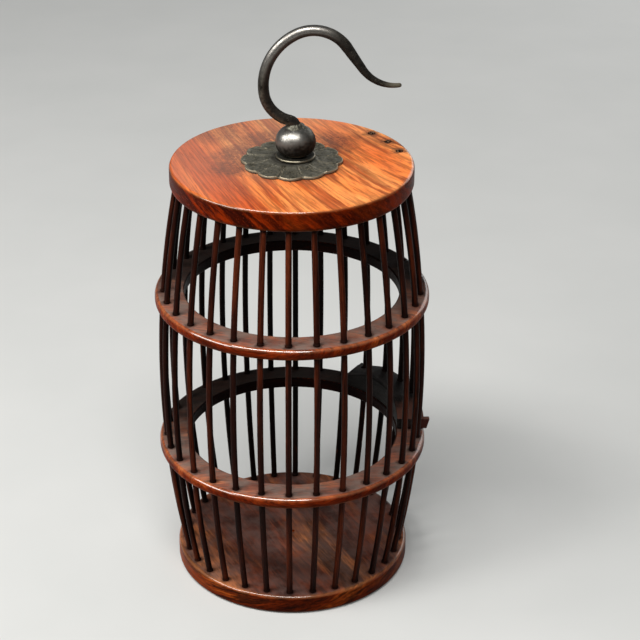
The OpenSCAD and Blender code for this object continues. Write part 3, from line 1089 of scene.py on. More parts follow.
@dataclass(frozen=True)
class Finishes:
    """All finishes of the cage, made once."""

    top: Material
    hoop_low: Material
    hoop_up: Material
    base: Material
    bar: Material
    door: Material
    rod: Material
    hook: Material
    petal: Material

    @classmethod
    def make(cls, sizes: CageSizes) -> "Finishes":
        """Makes every material.

        Args:
            sizes: the cage's main sizes.

        Returns:
            The set of materials.
        """
        fx = Effects()
        door_way = sizes.azimuth(sizes.door_place)
        hoops = [
            TurnedWood(
                name=f"{side}_hoop_rosewood", heading=heading, low=low, high=low + sizes.hoop_t,
                radius=sizes.hoop_d / 2, inside=sizes.hoop_d / 2 - sizes.hoop_w,
                ring=sizes.ring_r, pitch=sizes.pitch,
                pale="cf7440", mid="ab5028", dark="7c3018", streak="571d0c",
                wall=("4e1605", "7e290a", "ae4c1c"),
                streak_width=1.1, wander=4.0, lines=(0.5, 1.4),
                dusty="84736a", dust_share=0.92, rear_shadow_share=0.95,
                gloss=(0.34, 0.46), specular=0.03, coat_ior=2.0, coat_roughness=0.1,
            ).make(fx)
            for side, heading, low in (("lower", 8.0, sizes.low_hoop_z), ("upper", -14.0, sizes.up_hoop_z))
        ]
        return cls(
            top=TopWood(
                name="top_rosewood", low=sizes.top_z, high=sizes.cage_h,
                radius=sizes.board_d / 2 - sizes.top_inset, ring=sizes.foot_r, pitch=sizes.pitch,
                pale="fda860", mid="f98840", dark="d25b24", streak="992f06",
                wall=("3a0c02", "581702", "863109"),
                heading=-64.0, tilt=-43.0, curl=0.008,
                streak_width=4.0, streak_share=0.72, lines=(0.6, 1.26),
                dusty="b98066", dust_share=0.12, glue_share=0.0,
                door_ends=tuple(sizes.door_end(j) for j in DOOR_STEPS),
                gloss=(0.3, 0.42), specular=0.03, wax=0.12, coat_ior=1.7,
            ).make(fx),
            hoop_low=hoops[0],
            hoop_up=hoops[1],
            base=TurnedWood(
                name="base_rosewood", low=0.0, high=sizes.base_t,
                radius=sizes.board_d / 2, ring=sizes.foot_r, pitch=sizes.pitch,
                pale="b8703f", mid="75371f", dark="35130a", streak="1c0a06",
                wall=("3d1105", "74280b", "b4561e"),
                heading=-62.0, tilt=76.0, streak_width=2.6, streak_share=0.8, lines=(0.5, 1.4),
                dusty="705a54", dust_share=0.6, patchy=0.75,
                gloss=(0.34, 0.48), specular=0.03, coat_ior=1.7,
            ).make(fx),
            bar=BarWood(
                name="bar_darkwood", middle=sizes.z_mid, bow_rate=sizes.bow_rate, top=sizes.cage_h,
                pale="6a2e18", mid="35150c", dark="190805", streak="100503",
                streak_width=0.55, streak_share=0.6, wander=0.6,
                gloss=(0.36, 0.52), specular=0.05, bump=0.05,
            ).make(fx),
            door=RailWood(
                name="rail_blackwood", azimuth=door_way, heading=math.degrees(door_way) - 90.0,
                pale="3a3532", mid="221e1c", dark="14110f", streak="0b0807",
                streak_width=1.6, gloss=(0.42, 0.6), specular=0.12,
            ).make(fx),
            rod=Pewter(
                name="rod_pewter", bright="625d54", dull="26231f", warm="c2b79a",
                speck_share=0.85, pit_size=0.6, gloss=(0.34, 0.44), bump=0.1,
            ).make(fx),
            hook=Pewter(name="hook_pewter", bright="7d7b70", dull="3f3e37", gloss=(0.26, 0.4)).make(fx),
            petal=Pewter(
                name="petal_pewter", bright="a3a092", dull="474539", warm="cbc4ab",
                speck_share=0.6, pit_size=0.75, gloss=(0.3, 0.46), bump=0.16,
            ).make(fx),
        )


# Sub-assemblies


@dataclass
class Boards:
    """Base board, top board and the two hoops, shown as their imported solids."""

    finishes: Finishes

    def build(self) -> None:
        """Dresses the four turned pieces."""
        dress("base_board", self.finishes.base)
        dress("top_board", self.finishes.top)
        dress("lower_hoop", self.finishes.hoop_low)
        dress("upper_hoop", self.finishes.hoop_up)


@dataclass(frozen=True)
class Foot:
    """A glued swelling where a bar leaves a face, upwards or, with way -1, downwards."""

    z: float
    way: int = 1
    tall: float = 1.3
    proud: float = 0.24
    sunk: float = 0.5

    @classmethod
    def under(cls, z: float) -> "Foot":
        """Gives the smaller swelling on the underside of a face."""
        return cls(z, -1, 0.8, 0.2)

    def swell(self, z: float) -> float:
        """Says how much thicker the bar is at a height."""
        t = (z - self.z) * self.way
        return self.proud * (1 - ease(t, self.tall * 0.45, self.tall)) if t >= -self.sunk else 0.0

    def grime(self, z: float) -> float:
        """Says how dirty the bar is at a height."""
        t = (z - self.z) * self.way
        return 1 - ease(t, self.tall * 0.7, self.tall * 2.2) if t >= -self.sunk else 0.0


@dataclass
class BowedBars:
    """Hand-drawn bars: whole ones round the cage and short ones under the door."""

    sizes: CageSizes
    finishes: Finishes
    sides: int = 16
    step: float = 3.4
    nearest: float = 0.12
    uneven: float = 0.02
    short_fit: float = 0.3
    foot_rings: tuple[float, ...] = (-0.2, 0.05, 0.3, 0.5, 0.62, 0.75, 0.88, 1.0, 1.3, 1.8)
    dome_rings: tuple[float, ...] = (0.7, 0.42, 0.2, 0.06)
    dome_h: float = 0.75
    dome_room: float = 0.8

    def heights(self, low: float, high: float, feet: Sequence[Foot]) -> list[float]:
        """Lists the heights of a bar's rings, closer together at its feet.

        Args:
            low: lower end.
            high: upper end.
            feet: swellings on the bar.

        Returns:
            Heights from low to high.
        """
        count = max(2, round((high - low) / self.step))
        found = [low + (high - low) * k / count for k in range(count + 1)]
        for foot in feet:
            found += [foot.z + foot.way * foot.tall * t for t in self.foot_rings]
        kept: list[float] = []
        for z in sorted(z for z in found if low <= z <= high):
            if not kept or z - kept[-1] > self.nearest:
                kept.append(z)
        return kept

    def rod(
        self,
        name: str,
        place: int,
        low: float,
        high: float,
        feet: Sequence[Foot],
        shift: int = 0,
        dome: bool = False,
    ) -> Piece:
        """Builds one bowed bar.

        Args:
            name: name of the piece.
            place: place of the plane that the bar bends in.
            low: lower end.
            high: upper end.
            feet: swellings on the bar.
            shift: places sideways, for a bar of the door.
            dome: whether the upper end is rounded.

        Returns:
            The bar.
        """
        sz = self.sizes
        a = sz.azimuth(place)
        out, side = Vector((math.cos(a), math.sin(a), 0.0)), Vector((-math.sin(a), math.cos(a), 0.0))
        seed = (place + shift) * 3.7
        levels = self.heights(low, high, feet)
        if dome:
            levels = [z for z in levels if z < high - self.dome_room] + [high - d for d in self.dome_rings]
        rings, grime = [], []
        for z in levels:
            x, lean = sz.bow(z, sz.side_r(shift))
            normal = out * math.cos(lean) + Vector((0, 0, math.sin(lean)))
            centre = out * x + side * sz.side_y(shift) + Vector((0, 0, z))
            swell = sum(f.swell(z) * (1 + 0.22 * wave(seed, f.z)) for f in feet)
            drop = 1 - min(1.0, (high - z) / self.dome_h)
            end = math.sqrt(max(0.04, 1 - drop**2)) if dome else 1.0
            ring = []
            for t in around(self.sides):
                c, d = math.cos(t), math.sin(t)
                worn = 1 + self.uneven * (0.6 * wave(seed, z / 17) + 0.7 * wave(seed + 9 + c, z / 26, d))
                lump = swell * (1 + 0.25 * wave(seed + 2 * c, z, 2 * d))
                ring.append(tuple(centre + (normal * c + side * d) * ((sz.bar_d / 2 * worn + lump) * end)))
            rings.append(ring)
            grime += [max(f.grime(z) for f in feet)] * self.sides
        bar = mesh_piece(name, *skin(rings))
        mark(bar, "foot", grime)
        return bar

    def feet(self, place: int) -> list[Foot]:
        """Lists the glued feet of a whole bar; beside the door the rail leaves no room for two of them.

        Args:
            place: place of the bar.

        Returns:
            Its feet.
        """
        sz = self.sizes
        low_top, up_top = sz.low_hoop_z + sz.hoop_t, sz.up_hoop_z + sz.hoop_t
        found = [Foot(sz.base_t), Foot.under(sz.low_hoop_z), Foot(up_top), Foot.under(sz.top_z)]
        if abs(place - sz.door_place) != sz.guide_steps:
            found += [Foot(low_top), Foot.under(sz.up_hoop_z)]
        return found

    def build(self) -> None:
        """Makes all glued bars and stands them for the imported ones."""
        sz = self.sizes
        for k in range(sz.places):
            node, top, feet = f"bar_{k:02d}", sz.top_z + sz.socket, self.feet(k)
            if k - sz.door_place in DOOR_STEPS:
                node, top = f"short_bar_{k:02d}", sz.low_hoop_z + sz.hoop_t - self.short_fit
                feet = [Foot(sz.base_t), Foot.under(sz.low_hoop_z)]
            bar = self.rod(f"glued_{node}", k, sz.base_t - sz.socket, top, feet)
            seat(bar, "cage", "bar_wood", self.finishes.bar, node)


@dataclass
class LiftDoor:
    """Three sliding bars in a curved rail that rides on two guide bars."""

    sizes: CageSizes
    finishes: Finishes
    rail_w: float = 13.8
    rail_inset: float = 0.5
    rail_h: float = 11.0
    rail_end_h: float = 6.2
    rail_flat: float = 33.0
    rail_tail: float = 6.4
    rail_socket: float = 7.0
    rail_steps: int = 60
    ledge: float = 1.0
    soft: float = 0.7
    soft_ends: tuple[tuple[float, float], ...] = ((0.0, 0.6), (0.12, 0.32), (0.35, 0.12), (0.7, 0.0))
    sharp: float = 50.0
    lip_out: float = 3.0
    lip_cut: float = 1.4
    lip_len: float = 3.0
    lip_back: float = 0.3
    lip_root: float = 1.0
    lip_soft: float = 0.35
    seat_gap: float = 0.15
    slide_fit: float = 0.35
    slot_reach: float = 14.0
    slot_sides: int = 24
    proud: float = 0.6
    bar_fit: float = 0.3
    bar_uneven: float = 0.012

    @property
    def rail_z(self) -> float:
        """Underside of the closed rail."""
        return self.sizes.low_hoop_z + self.sizes.hoop_t + self.seat_gap

    @property
    def rail_out(self) -> float:
        """Outer radius of the rail."""
        return self.sizes.hoop_d / 2 - self.rail_inset

    @property
    def guide_angle(self) -> float:
        """Angle from the door's middle to each guide bar, in radians."""
        return self.sizes.guide_steps * self.sizes.pitch

    @property
    def half_angle(self) -> float:
        """Half of the rail's sweep, in radians."""
        return self.guide_angle + math.asin(self.rail_tail / self.sizes.ring_r)

    def crest(self, y: float) -> float:
        """Gives the height of the rail's back: level, then falling to the ends' ledges.

        Args:
            y: sideways place.

        Returns:
            The height.
        """
        end = self.rail_out * math.sin(self.half_angle) - self.ledge
        fall = min(1.0, max(0.0, (abs(y) - self.rail_flat / 2) / (end - self.rail_flat / 2)))
        return self.rail_h - (self.rail_h - self.rail_end_h) * fall

    def section(self, angle: float, inset: float) -> list[Point]:
        """Builds the rail's rounded section at an angle from its middle.

        Args:
            angle: angle round the cage from the door's middle.
            inset: how far the section is drawn in, for the rounded ends.

        Returns:
            Points round the section, in the door's own frame.
        """
        soft = self.soft
        r_out, r_in = self.rail_out - inset - soft, self.rail_out - self.rail_w + inset + soft
        high, low = self.crest(self.rail_out * math.sin(angle)) - inset - soft, inset + soft
        loop = []
        for cr, cz, start in ((r_out, high, 0), (r_in, high, 90), (r_in, low, 180), (r_out, low, 270)):
            for k in range(5):
                t = math.radians(start + 22.5 * k)
                r, z = cr + soft * math.cos(t), cz + soft * math.sin(t)
                loop.append(polar(r + 0.1 * wave(angle * 9, z / 4, 3.0), angle, self.rail_z + z))
        return loop

    def slot_cutter(self, way: int) -> Piece:
        """Makes the long hole of one guide bar.

        Args:
            way: side of the door, 1 or -1.

        Returns:
            A closed prism to cut with, in the door's own frame.
        """
        sz, angle = self.sizes, self.guide_angle
        z = self.rail_z + self.rail_end_h / 2
        x, lean = sz.bow(z, sz.arc_r)
        belly = sz.arc_c + sz.arc_r - sz.bow(self.rail_z, sz.arc_r)[0]
        slack = belly * math.sin(angle) + self.slide_fit
        r = sz.bar_d / 2 + self.slide_fit + belly * (1 - math.cos(angle))
        outline = []
        for k in range(self.slot_sides):
            px, py, _ = polar(r, 2 * math.pi * (k + 0.5) / self.slot_sides)
            outline.append((px, py + (slack * way if py * way > 0 else 0.0)))
        turn = Matrix.Rotation(way * angle, 4, "Z") @ Matrix.Translation((x, 0, z))
        turn = turn @ Matrix.Rotation(-lean, 4, "Y")
        reach = (-self.slot_reach, self.slot_reach)
        rings = [[tuple(turn @ Vector((px, py, h))) for px, py in outline] for h in reach]
        return mesh_piece("slot_cutter", *skin(rings))

    def lip(self, way: int) -> Piece:
        """Makes the small lip that sticks out at one end of the rail.

        Args:
            way: end of the rail, 1 or -1.

        Returns:
            A closed block to join on, in the door's own frame.
        """
        soft, root = self.lip_soft, self.rail_out - self.lip_root
        starts = [(0.0, soft), (0.1, 0.12), (soft, 0.0)]
        rings = []
        for run, inset in starts + [(self.lip_len - d, i) for d, i in reversed(starts)]:
            angle = way * (self.half_angle - (self.lip_back + run) / self.rail_out)
            out = self.rail_out + self.lip_out - inset
            low, high = self.lip_back + inset, self.rail_end_h - self.lip_back - inset
            loop = [
                (root, low),
                (out - self.lip_cut - soft, low),
                (out - self.lip_cut + 0.1, low + soft),
                (out, high - soft),
                (out - soft, high),
                (root, high),
            ]
            rings.append([polar(r, angle, self.rail_z + z) for r, z in loop])
        return mesh_piece("rail_lip", *skin(rings))

    def rail(self) -> Piece:
        """Builds the rail with its lips and its two long holes.

        Returns:
            The rail, in place.
        """
        a, r = self.half_angle, self.rail_out
        first, count = self.soft_ends[-1][0] / r, self.rail_steps
        angles = [(-a + d / r, i) for d, i in self.soft_ends]
        angles += [(-a + first + (2 * a - 2 * first) * k / count, 0.0) for k in range(1, count)]
        angles += [(a - d / r, i) for d, i in reversed(self.soft_ends)]
        rail = mesh_piece("door_rail_body", *skin([self.section(t, i) for t, i in angles]), sharp=self.sharp)
        tools = [("UNION", self.lip(way)) for way in BOTH_WAYS]
        tools += [("DIFFERENCE", self.slot_cutter(way)) for way in BOTH_WAYS]
        for operation, tool in tools:
            step = rail.modifiers.new("rail_shape", "BOOLEAN")
            step.operation, step.solver, step.object = operation, "EXACT", tool
        seen = rail.evaluated_get(bpy.context.evaluated_depsgraph_get())
        whole = bpy.data.meshes.new_from_object(seen)
        rail.modifiers.clear()
        rail.data = whole
        for _, tool in tools:
            bpy.data.objects.remove(tool)
        whole.transform(Matrix.Rotation(self.sizes.azimuth(self.sizes.door_place), 4, "Z"))
        whole.set_sharp_from_angle(angle=math.radians(self.sharp))
        return rail

    def build(self) -> None:
        """Makes the rail and its three bars."""
        sz = self.sizes
        seat(self.rail(), "door", "door_wood", self.finishes.door, "door_rail")
        drawn = BowedBars(sz, self.finishes, uneven=self.bar_uneven)
        top = self.rail_z + self.rail_h
        low, high = top - self.rail_socket + self.bar_fit, sz.cage_h + self.proud
        for j in DOOR_STEPS:
            k = sz.door_place + j
            foot = Foot(top, 1, 0.7, 0.3)
            bar = drawn.rod(f"sliding_bar_{k:02d}", sz.door_place, low, high, [foot], shift=j, dome=True)
            seat(bar, "door", "bar_wood", self.finishes.bar, f"door_bar_{k:02d}")


@dataclass
class PetalPlate:
    """Thin embossed plate of twelve petals under the hook."""

    sizes: CageSizes
    finishes: Finishes
    over_d: float = 49.0
    end_r: float = 7.0
    edge_t: float = 0.9
    hub_d: float = 20.6
    bore_d: float = 5.9
    under_gap: float = 0.02
    petals: int = 12
    per_petal: int = 26
    rings: int = 34
    crowding: float = 1.35
    bend_r: float = 16.0
    under_r: float = 18.0
    flange_shadow: tuple[float, float] = (9.4, 12.0)
    pitted: float = 0.75
    sharp: float = 55.0

    def outline(self, off: float) -> float:
        """Gives the radius of the scalloped edge at an angle from a petal's middle."""
        end_x = self.over_d / 2 - self.end_r
        return end_x * math.cos(off) + math.sqrt(max(0.0, self.end_r**2 - (end_x * math.sin(off)) ** 2))

    def lift(self, petal: int) -> float:
        """Says how far a petal's end is bent up."""
        return 0.35 + 0.35 * wave(petal * 1.7, 4.0)

    def top(self, r: float, off: float, petal: int) -> tuple[float, float, float, float]:
        """Finds the upper face at a point.

        Args:
            r: distance from the axis.
            off: angle from the petal's middle.
            petal: number of the petal.

        Returns:
            Height, rubbing with painted highlights and glints, crease grime with the painted shadow of the
            flange, and underside height.
        """
        inset = self.outline(off) - r
        hub, over = self.hub_d / 2, self.over_d / 2
        half = math.pi / self.petals
        across = abs(off) / half
        run = ease(r, hub, hub + 3.5)
        thick = self.sizes.plate_t
        slope = thick - (thick - self.edge_t) * max(0.0, (r - hub) / (over - hub))
        crease = (1 - ease((1 - across) * half * r, 0.0, 0.9)) * run
        rim = 1 - ease(inset, 0.25, 1.15)
        panel = ease(inset, 0.9, 2.2) * (1 - ease(across, 0.62, 0.9)) * ease(r, hub + 1.2, hub + 3.0)
        bend = self.lift(petal) * ease(r, self.bend_r, over)
        beat = 0.07 * wave(r / 2, off * 9, petal) + 0.05 * wave(r * 1.1, off * 20, petal + 5.0)
        z = slope - 0.55 * crease + 0.3 * rim * (1 - crease) - 0.36 * panel * run + bend + beat
        patchy = 0.8 + 0.5 * wave(off * r / 2.5, r / 3.0, petal * 2.3)
        ridge = 0.3 * (1 - ease(abs(across - 0.8), 0.0, 0.12)) * run
        # Painted glints: bright flecks on the petals stand in for light caught by the relief.
        glint = 0.8 * ease(wave(r * 1.2, off * r * 1.2, petal + 9.0), 0.2, 0.42) * run
        # Rims and ridges are rubbed bright, partly real wear and partly painted highlight.
        worn = min(1.0, max(rim * (1 - 0.6 * crease) * patchy, ridge * patchy, glint))
        # Grime in the creases, and painted shadow under and round the flange.
        grime = max(0.75 * crease, 0.9 * (1 - ease(r, *self.flange_shadow)))
        return z, worn, grime, bend * ease(r, self.under_r, over)

    def build(self) -> None:
        """Makes the plate."""
        bore, z0, step = self.bore_d / 2, self.sizes.cage_h, 2 * math.pi / self.petals
        turns = around(self.petals * self.per_petal)
        wear = Wear()
        upper, lower = [], []
        for i in range(self.rings + 1):
            share = i / self.rings
            thin = 0.22 * ease(share, 0.96, 1.0)
            up_row, low_row = [], []
            for turn in turns:
                petal = round(turn / step)
                off = turn - petal * step
                r = bore + (self.outline(off) - bore) * (1 - (1 - share) ** self.crowding)
                z, worn, grime, under = self.top(r, off, petal % self.petals)
                x, y, _ = polar(r, turn)
                x += self.sizes.shank_off * (1 - ease(r, bore, self.hub_d / 2 - 1))
                up_row.append((x, y, z0 + z - thin))
                low_row.append((x, y, z0 + under + self.under_gap))
                wear.add(pitted=self.pitted, worn=worn, grimy=grime)
            upper.append(up_row)
            lower.append(low_row)
        # Painted shade: the whole underside is darkened, as shade under the plate.
        wear.add(len(lower) * len(turns), pitted=self.pitted, grimy=0.9)
        sheet = skin(upper + lower[::-1], Ends.JOINED)
        plate = mesh_piece("petal_plate_sheet", *sheet, sharp=self.sharp)
        wear.store(plate)
        seat(plate, "cage", "petal_metal", self.finishes.petal, "petal_plate")


class Bend(Enum):
    """Which way a stretch of the hook turns."""

    LEFT = 1
    RIGHT = -1
    NONE = 0


@dataclass(frozen=True)
class Stretch:
    """One stretch of the hook: radius and angle in degrees, or a straight length."""

    bend: Bend
    size: float
    angle: float = 0.0

    @property
    def length(self) -> float:
        """Length along the rod."""
        return self.size if self.bend is Bend.NONE else self.size * math.radians(self.angle)


@dataclass
class Hook:
    """Swivelling hook: bent rod with its shank, ball and collar."""

    sizes: CageSizes
    finishes: Finishes
    rod_d: float = 5.4
    root_d: float = 5.3
    nose_d: float = 3.9
    tip_d: float = 2.1
    gap: float = 0.2
    bore_fit: float = 0.1
    flange_d: float = 19.2
    flange_t: float = 1.5
    neck_d: float = 12.8
    neck_t: float = 1.6
    ball_d: float = 19.4
    ball_h: float = 15.6
    ball_sit: float = 4.9
    ball_steps: int = 40
    ball_end: float = 82.0
    root_rise: float = 7.3
    washer_t: float = 1.0
    hammered: float = 0.12
    sides: int = 28
    turned_sides: int = 112
    solder_sides: int = 64
    station: float = 1.1
    sharp: float = 60.0
    stretches: tuple[Stretch, ...] = (
        Stretch(Bend.LEFT, 3.4, 77.0),
        Stretch(Bend.RIGHT, 16.0, 69.0),
        Stretch(Bend.RIGHT, 28.5, 71.0),
        Stretch(Bend.RIGHT, 18.4, 82.0),
        Stretch(Bend.NONE, 13.6),
        Stretch(Bend.LEFT, 18.0, 63.0),
    )
    # The burr's heights over its seat and its radii, from its middle outwards and up
    burr: Profile = (
        (-1.8, 0.4), (-1.75, 1.6), (-1.6, 2.7), (-1.25, 3.5),
        (-0.8, 3.95), (-0.35, 4.0), (-0.05, 3.85), (0.0, 3.5),
    )
    # The shank's rings, as depths under the root
    shank_rings: tuple[float, ...] = (20.0, 12.0, 6.0, 2.0)
    # The solder's radii and its heights over the ball's crown
    solder_lump: Profile = (
        (2.2, -1.6), (4.9, -1.1), (4.6, -0.2), (4.0, 0.3), (3.3, 0.75), (2.7, 1.3), (2.2, 1.5),
    )

    @property
    def collar_z(self) -> float:
        """Underside of the collar."""
        return self.sizes.cage_h + self.sizes.plate_t + self.gap

    @property
    def ball_z(self) -> float:
        """Middle of the ball."""
        return self.collar_z + self.flange_t + self.neck_t + self.ball_sit

    @property
    def root_z(self) -> float:
        """Where the rod starts to bend."""
        return self.ball_z + self.root_rise

    @property
    def bore(self) -> float:
        """Radius of the ball's and the collar's bore."""
        return self.rod_d / 2 + self.bore_fit

    def path(self) -> list[tuple[float, float, float, float]]:
        """Walks the bent rod.

        Returns:
            Stations with X, Z, heading in radians and run along the rod.
        """
        x, z, head, run = 0.0, self.root_z, math.pi / 2, 0.0
        found = [(x, z, head, run)]
        for part in self.stretches:
            count = max(4, round(part.length / self.station))
            x0, z0, h0, s0 = x, z, head, run
            for k in range(1, count + 1):
                t = k / count
                if part.bend is Bend.NONE:
                    x, z = x0 + part.size * t * math.cos(h0), z0 + part.size * t * math.sin(h0)
                else:
                    r = part.size * part.bend.value
                    head = h0 + part.bend.value * math.radians(part.angle) * t
                    x, z = x0 + r * (math.sin(head) - math.sin(h0)), z0 - r * (math.cos(head) - math.cos(h0))
                run = s0 + part.length * t
                found.append((x, z, head, run))
        return found

    def thickness(self, run: float) -> float:
        """Gives the rod's diameter: level over the bow, then tapering to the nose and to the tip.

        Args:
            run: place along the rod.

        Returns:
            The diameter.
        """
        bow, nose, end = (sum(part.length for part in self.stretches[:k]) for k in (4, 5, 6))
        if run <= nose:
            return self.root_d + (self.nose_d - self.root_d) * max(0.0, run - bow) / (nose - bow)
        return self.nose_d + (self.tip_d - self.nose_d) * (run - nose) / (end - nose)

    def ring(self, x: float, z: float, head: float, radii: Sequence[float]) -> list[Point]:
        """Lays a ring of points across the rod.

        Args:
            x: place of its middle along X.
            z: height of its middle.
            head: heading of the rod there, in radians.
            radii: the ring's radius at each point.

        Returns:
            The points.
        """
        at, across = Vector((x, 0.0, z)), Vector((math.sin(head), 0.0, -math.cos(head)))
        return [
            tuple(at + across * (r * math.cos(t)) + Vector((0.0, -r * math.sin(t), 0.0)))
            for r, t in zip(radii, around(self.sides))
        ]

    def rod(self) -> Piece:
        """Builds the rod from its burred end under the board to its tip.

        Returns:
            The rod.
        """
        turns = around(self.sides)
        wear = Wear()
        rings: list[list[Point]] = []
        shank = self.rod_d / 2
        burr_z = self.sizes.top_z - self.washer_t - self.gap
        foot = [*self.burr, (0.0, shank)] + [(self.root_z - burr_z - d, shank) for d in self.shank_rings]
        for up, r in foot:
            hammer = self.hammered if r > shank + 0.2 else 0.0
            beats = [hammer * wave(3 * math.cos(t), 3 * math.sin(t), up * 2) for t in turns]
            rings.append([polar(r + beat, t, burr_z + up) for t, beat in zip(turns, beats)])
            wear.add(self.sides, pitted=0.5, worn=0.3 if hammer else 0.0, grimy=0.3)
        stations = self.path()
        x, z, head, end = stations[-1]
        crown = sum(part.length for part in self.stretches[:3]) + 0.55 * self.stretches[3].length
        for mid_x, mid_z, turn, run in stations:
            rough = ease(run, crown - 6, crown + 10)
            root = 1 - ease(run, 10.0, 30.0)
            beat, sway = 0.006 + 0.026 * rough, 0.01 * wave(run / 9.0, 7.0)
            beats = [beat * wave(run / 3.1, 1.6 * math.cos(t), 1.6 * math.sin(t)) for t in turns]
            radii = [self.thickness(run) / 2 * (1 + b + sway) for b in beats]
            rings.append(self.ring(mid_x, mid_z, turn, radii))
            for t in turns:
                wear.add(
                    pitted=max(0.06, 0.95 * rough, 0.85 * root),
                    worn=0.2 * ease(run, end - 9, end - 2),
                    # Painted highlight: the upper stretch of the bow, which catches the lamp, is made
                    # brighter as polish.
                    polished=0.6 * ease(run, 28.0, 46.0) * (1 - rough),
                    # Painted shade: the lower side of the rod is darkened; along the rough end the darkening
                    # is grime.
                    grimy=max(0.8 * rough, 0.85 * ease(math.cos(t), -0.35, 0.35)),
                )
        for k in range(1, 5):
            out, r, _ = polar(self.tip_d / 2, math.radians(90 - 20 * k))
            tip_x, tip_z = x + out * math.cos(head), z + out * math.sin(head)
            rings.append(self.ring(tip_x, tip_z, head, [r] * self.sides))
            wear.add(self.sides, pitted=0.8, worn=0.22, grimy=0.2)
        rod = mesh_piece("bent_hook_rod", *skin(rings), sharp=self.sharp)
        wear.store(rod)
        return rod

    def dent(self, radius: float, z: float, a: float) -> tuple[float, float]:
        """Gives the ball small knocks all over, and lumps of solder near the top.

        Args:
            radius: distance from the axis.
            z: height.
            a: angle round the axis.

        Returns:
            The radial and upward change.
        """
        if radius <= self.bore + 0.01:
            return 0.0, 0.0
        x, y, _ = polar(radius, a)
        knock = 0.05 * wave(x / 3.5, y / 3.5, z / 3.5) + 0.02 * wave(x, y, z)
        high = ease(z, self.ball_z + 6.0, self.ball_z + 7.6)
        return knock, high * (0.35 * max(0.0, wave(x * 0.8, y * 0.8, 5.0)) + 0.1 * wave(x * 2, y * 2, 1.0))

    def ball(self) -> Piece:
        """Builds the ball with its dents, its pitting, a painted highlight on its upper front left and grime
        with painted shade below.

        Returns:
            The ball.
        """
        waist, r = (self.ball_d - self.ball_h) / 2, self.ball_h / 2
        start, top = math.asin(-self.ball_sit / r), math.radians(self.ball_end)
        profile = [(self.bore, -self.ball_sit)]
        for k in range(self.ball_steps + 1):
            t = start + (top - start) * k / self.ball_steps
            profile.append((waist + r * math.cos(t), r * math.sin(t)))
        profile += [(self.bore + 0.3, r * math.sin(top) + 0.12), (self.bore, r * math.sin(top) - 2.0)]
        profile = [(a, self.ball_z + b) for a, b in profile]
        ball = turned("hook_ball_turned", profile, self.turned_sides, self.dent)
        wear = Wear()
        for v in ball.data.vertices:
            x, y, z = v.co / MM
            up = z - self.ball_z
            side = ease(x * 0.6 + up * 0.6 + y * 0.2, 3.0, 8.0)
            low = 1 - ease(z, self.ball_z - 5.0, self.ball_z + 4.0)
            # Painted shade: the ball darkens towards its seat and over its lower right, away from the lamps,
            # mixed with real grime.
            seat_shade = 0.95 * (1 - ease(z, self.ball_z - 5.0, self.ball_z - 2.8))
            under = 1 - ease(up - 0.2 * x, -0.5, 6.0)
            patch = 0.95 + 0.15 * wave(x / 1.3, y / 1.3, z / 1.3)
            wear.add(
                pitted=max(0.28, 0.85 * side, 0.6 * low),
                # Painted highlight: the upper front left, which faces the lamps, is made brighter as polish.
                polished=0.65 * ease(up - 0.4 * x - 0.3 * y, -2.0, 6.0) * (1 - side),
                grimy=max(seat_shade, min(1.0, under * patch)),
            )
        wear.store(ball)
        return ball

    def lump(self, radius: float, z: float, a: float) -> tuple[float, float]:
        """Gives the solder uneven blobs, larger on the right.

        Args:
            radius: distance from the axis.
            z: height.
            a: angle round the axis.

        Returns:
            The radial and upward change.
        """
        size = 0.4 + 0.35 * math.cos(a)
        broad = wave(2.2 * math.cos(a), 2.2 * math.sin(a), z * 0.8)
        fine = wave(5.0 * math.cos(a), 5.0 * math.sin(a), 8.0 + z)
        return (0.9 * broad + 0.35 * fine) * size, (0.8 * broad + 0.4 * fine) * size

    def solder(self) -> Piece:
        """Builds the lumpy solder round the rod's root.

        Returns:
            The solder, on top of the ball.
        """
        z = self.ball_z + self.ball_h / 2
        profile = [(r, z + up) for r, up in self.solder_lump]
        blob = turned("root_solder", profile, self.solder_sides, self.lump)
        wear = Wear()
        wear.add(len(blob.data.vertices), pitted=0.9, worn=0.06, grimy=0.1)
        wear.store(blob)
        return blob

    def knock(self, radius: float, z: float, a: float) -> tuple[float, float]:
        """Gives the collar slight unevenness from filing.

        Args:
            radius: distance from the axis.
            z: height.
            a: angle round the axis.

        Returns:
            The radial and upward change.
        """
        if radius <= self.bore + 0.01:
            return 0.0, 0.0
        x, y, _ = polar(radius, a)
        return 0.05 * wave(x / 3, y / 3, z), 0.0

    def collar(self) -> Piece:
        """Builds the collar: a rounded flange with a neck ring on it.

        Returns:
            The collar.
        """
        z, neck_z = self.collar_z, self.collar_z + self.flange_t
        flange, neck = self.flange_d / 2, self.neck_d / 2
        edge, ring = self.flange_t / 2, self.neck_t / 2
        turns = [math.radians(-90 + 15 * k) for k in range(13)]
        profile = [(self.bore, z), (flange - edge, z)]
        profile += [(flange - edge + edge * math.cos(t), z + edge + edge * math.sin(t)) for t in turns[1:-1]]
        profile += [(flange - edge, neck_z), (neck + 0.9, neck_z - 0.12)]
        profile += [(neck - ring + ring * math.cos(t), neck_z + ring + ring * math.sin(t)) for t in turns]
        profile.append((self.bore, neck_z + self.neck_t))
        collar = turned("hook_collar_turned", profile, self.turned_sides, self.knock)
        wear = Wear()
        for v in collar.data.vertices:
            x, y, h = v.co / MM
            away = math.hypot(x, y)
            wear.add(
                pitted=0.25,
                worn=0.55 * ease(away, flange - 0.9, flange - 0.1) * ease(h, z + 0.6, z + 1.2),
                grimy=0.8 * ease(away, neck - 0.2, neck + 0.5) * (1 - ease(away, neck + 0.9, neck + 1.8)),
            )
        wear.store(collar)
        return collar

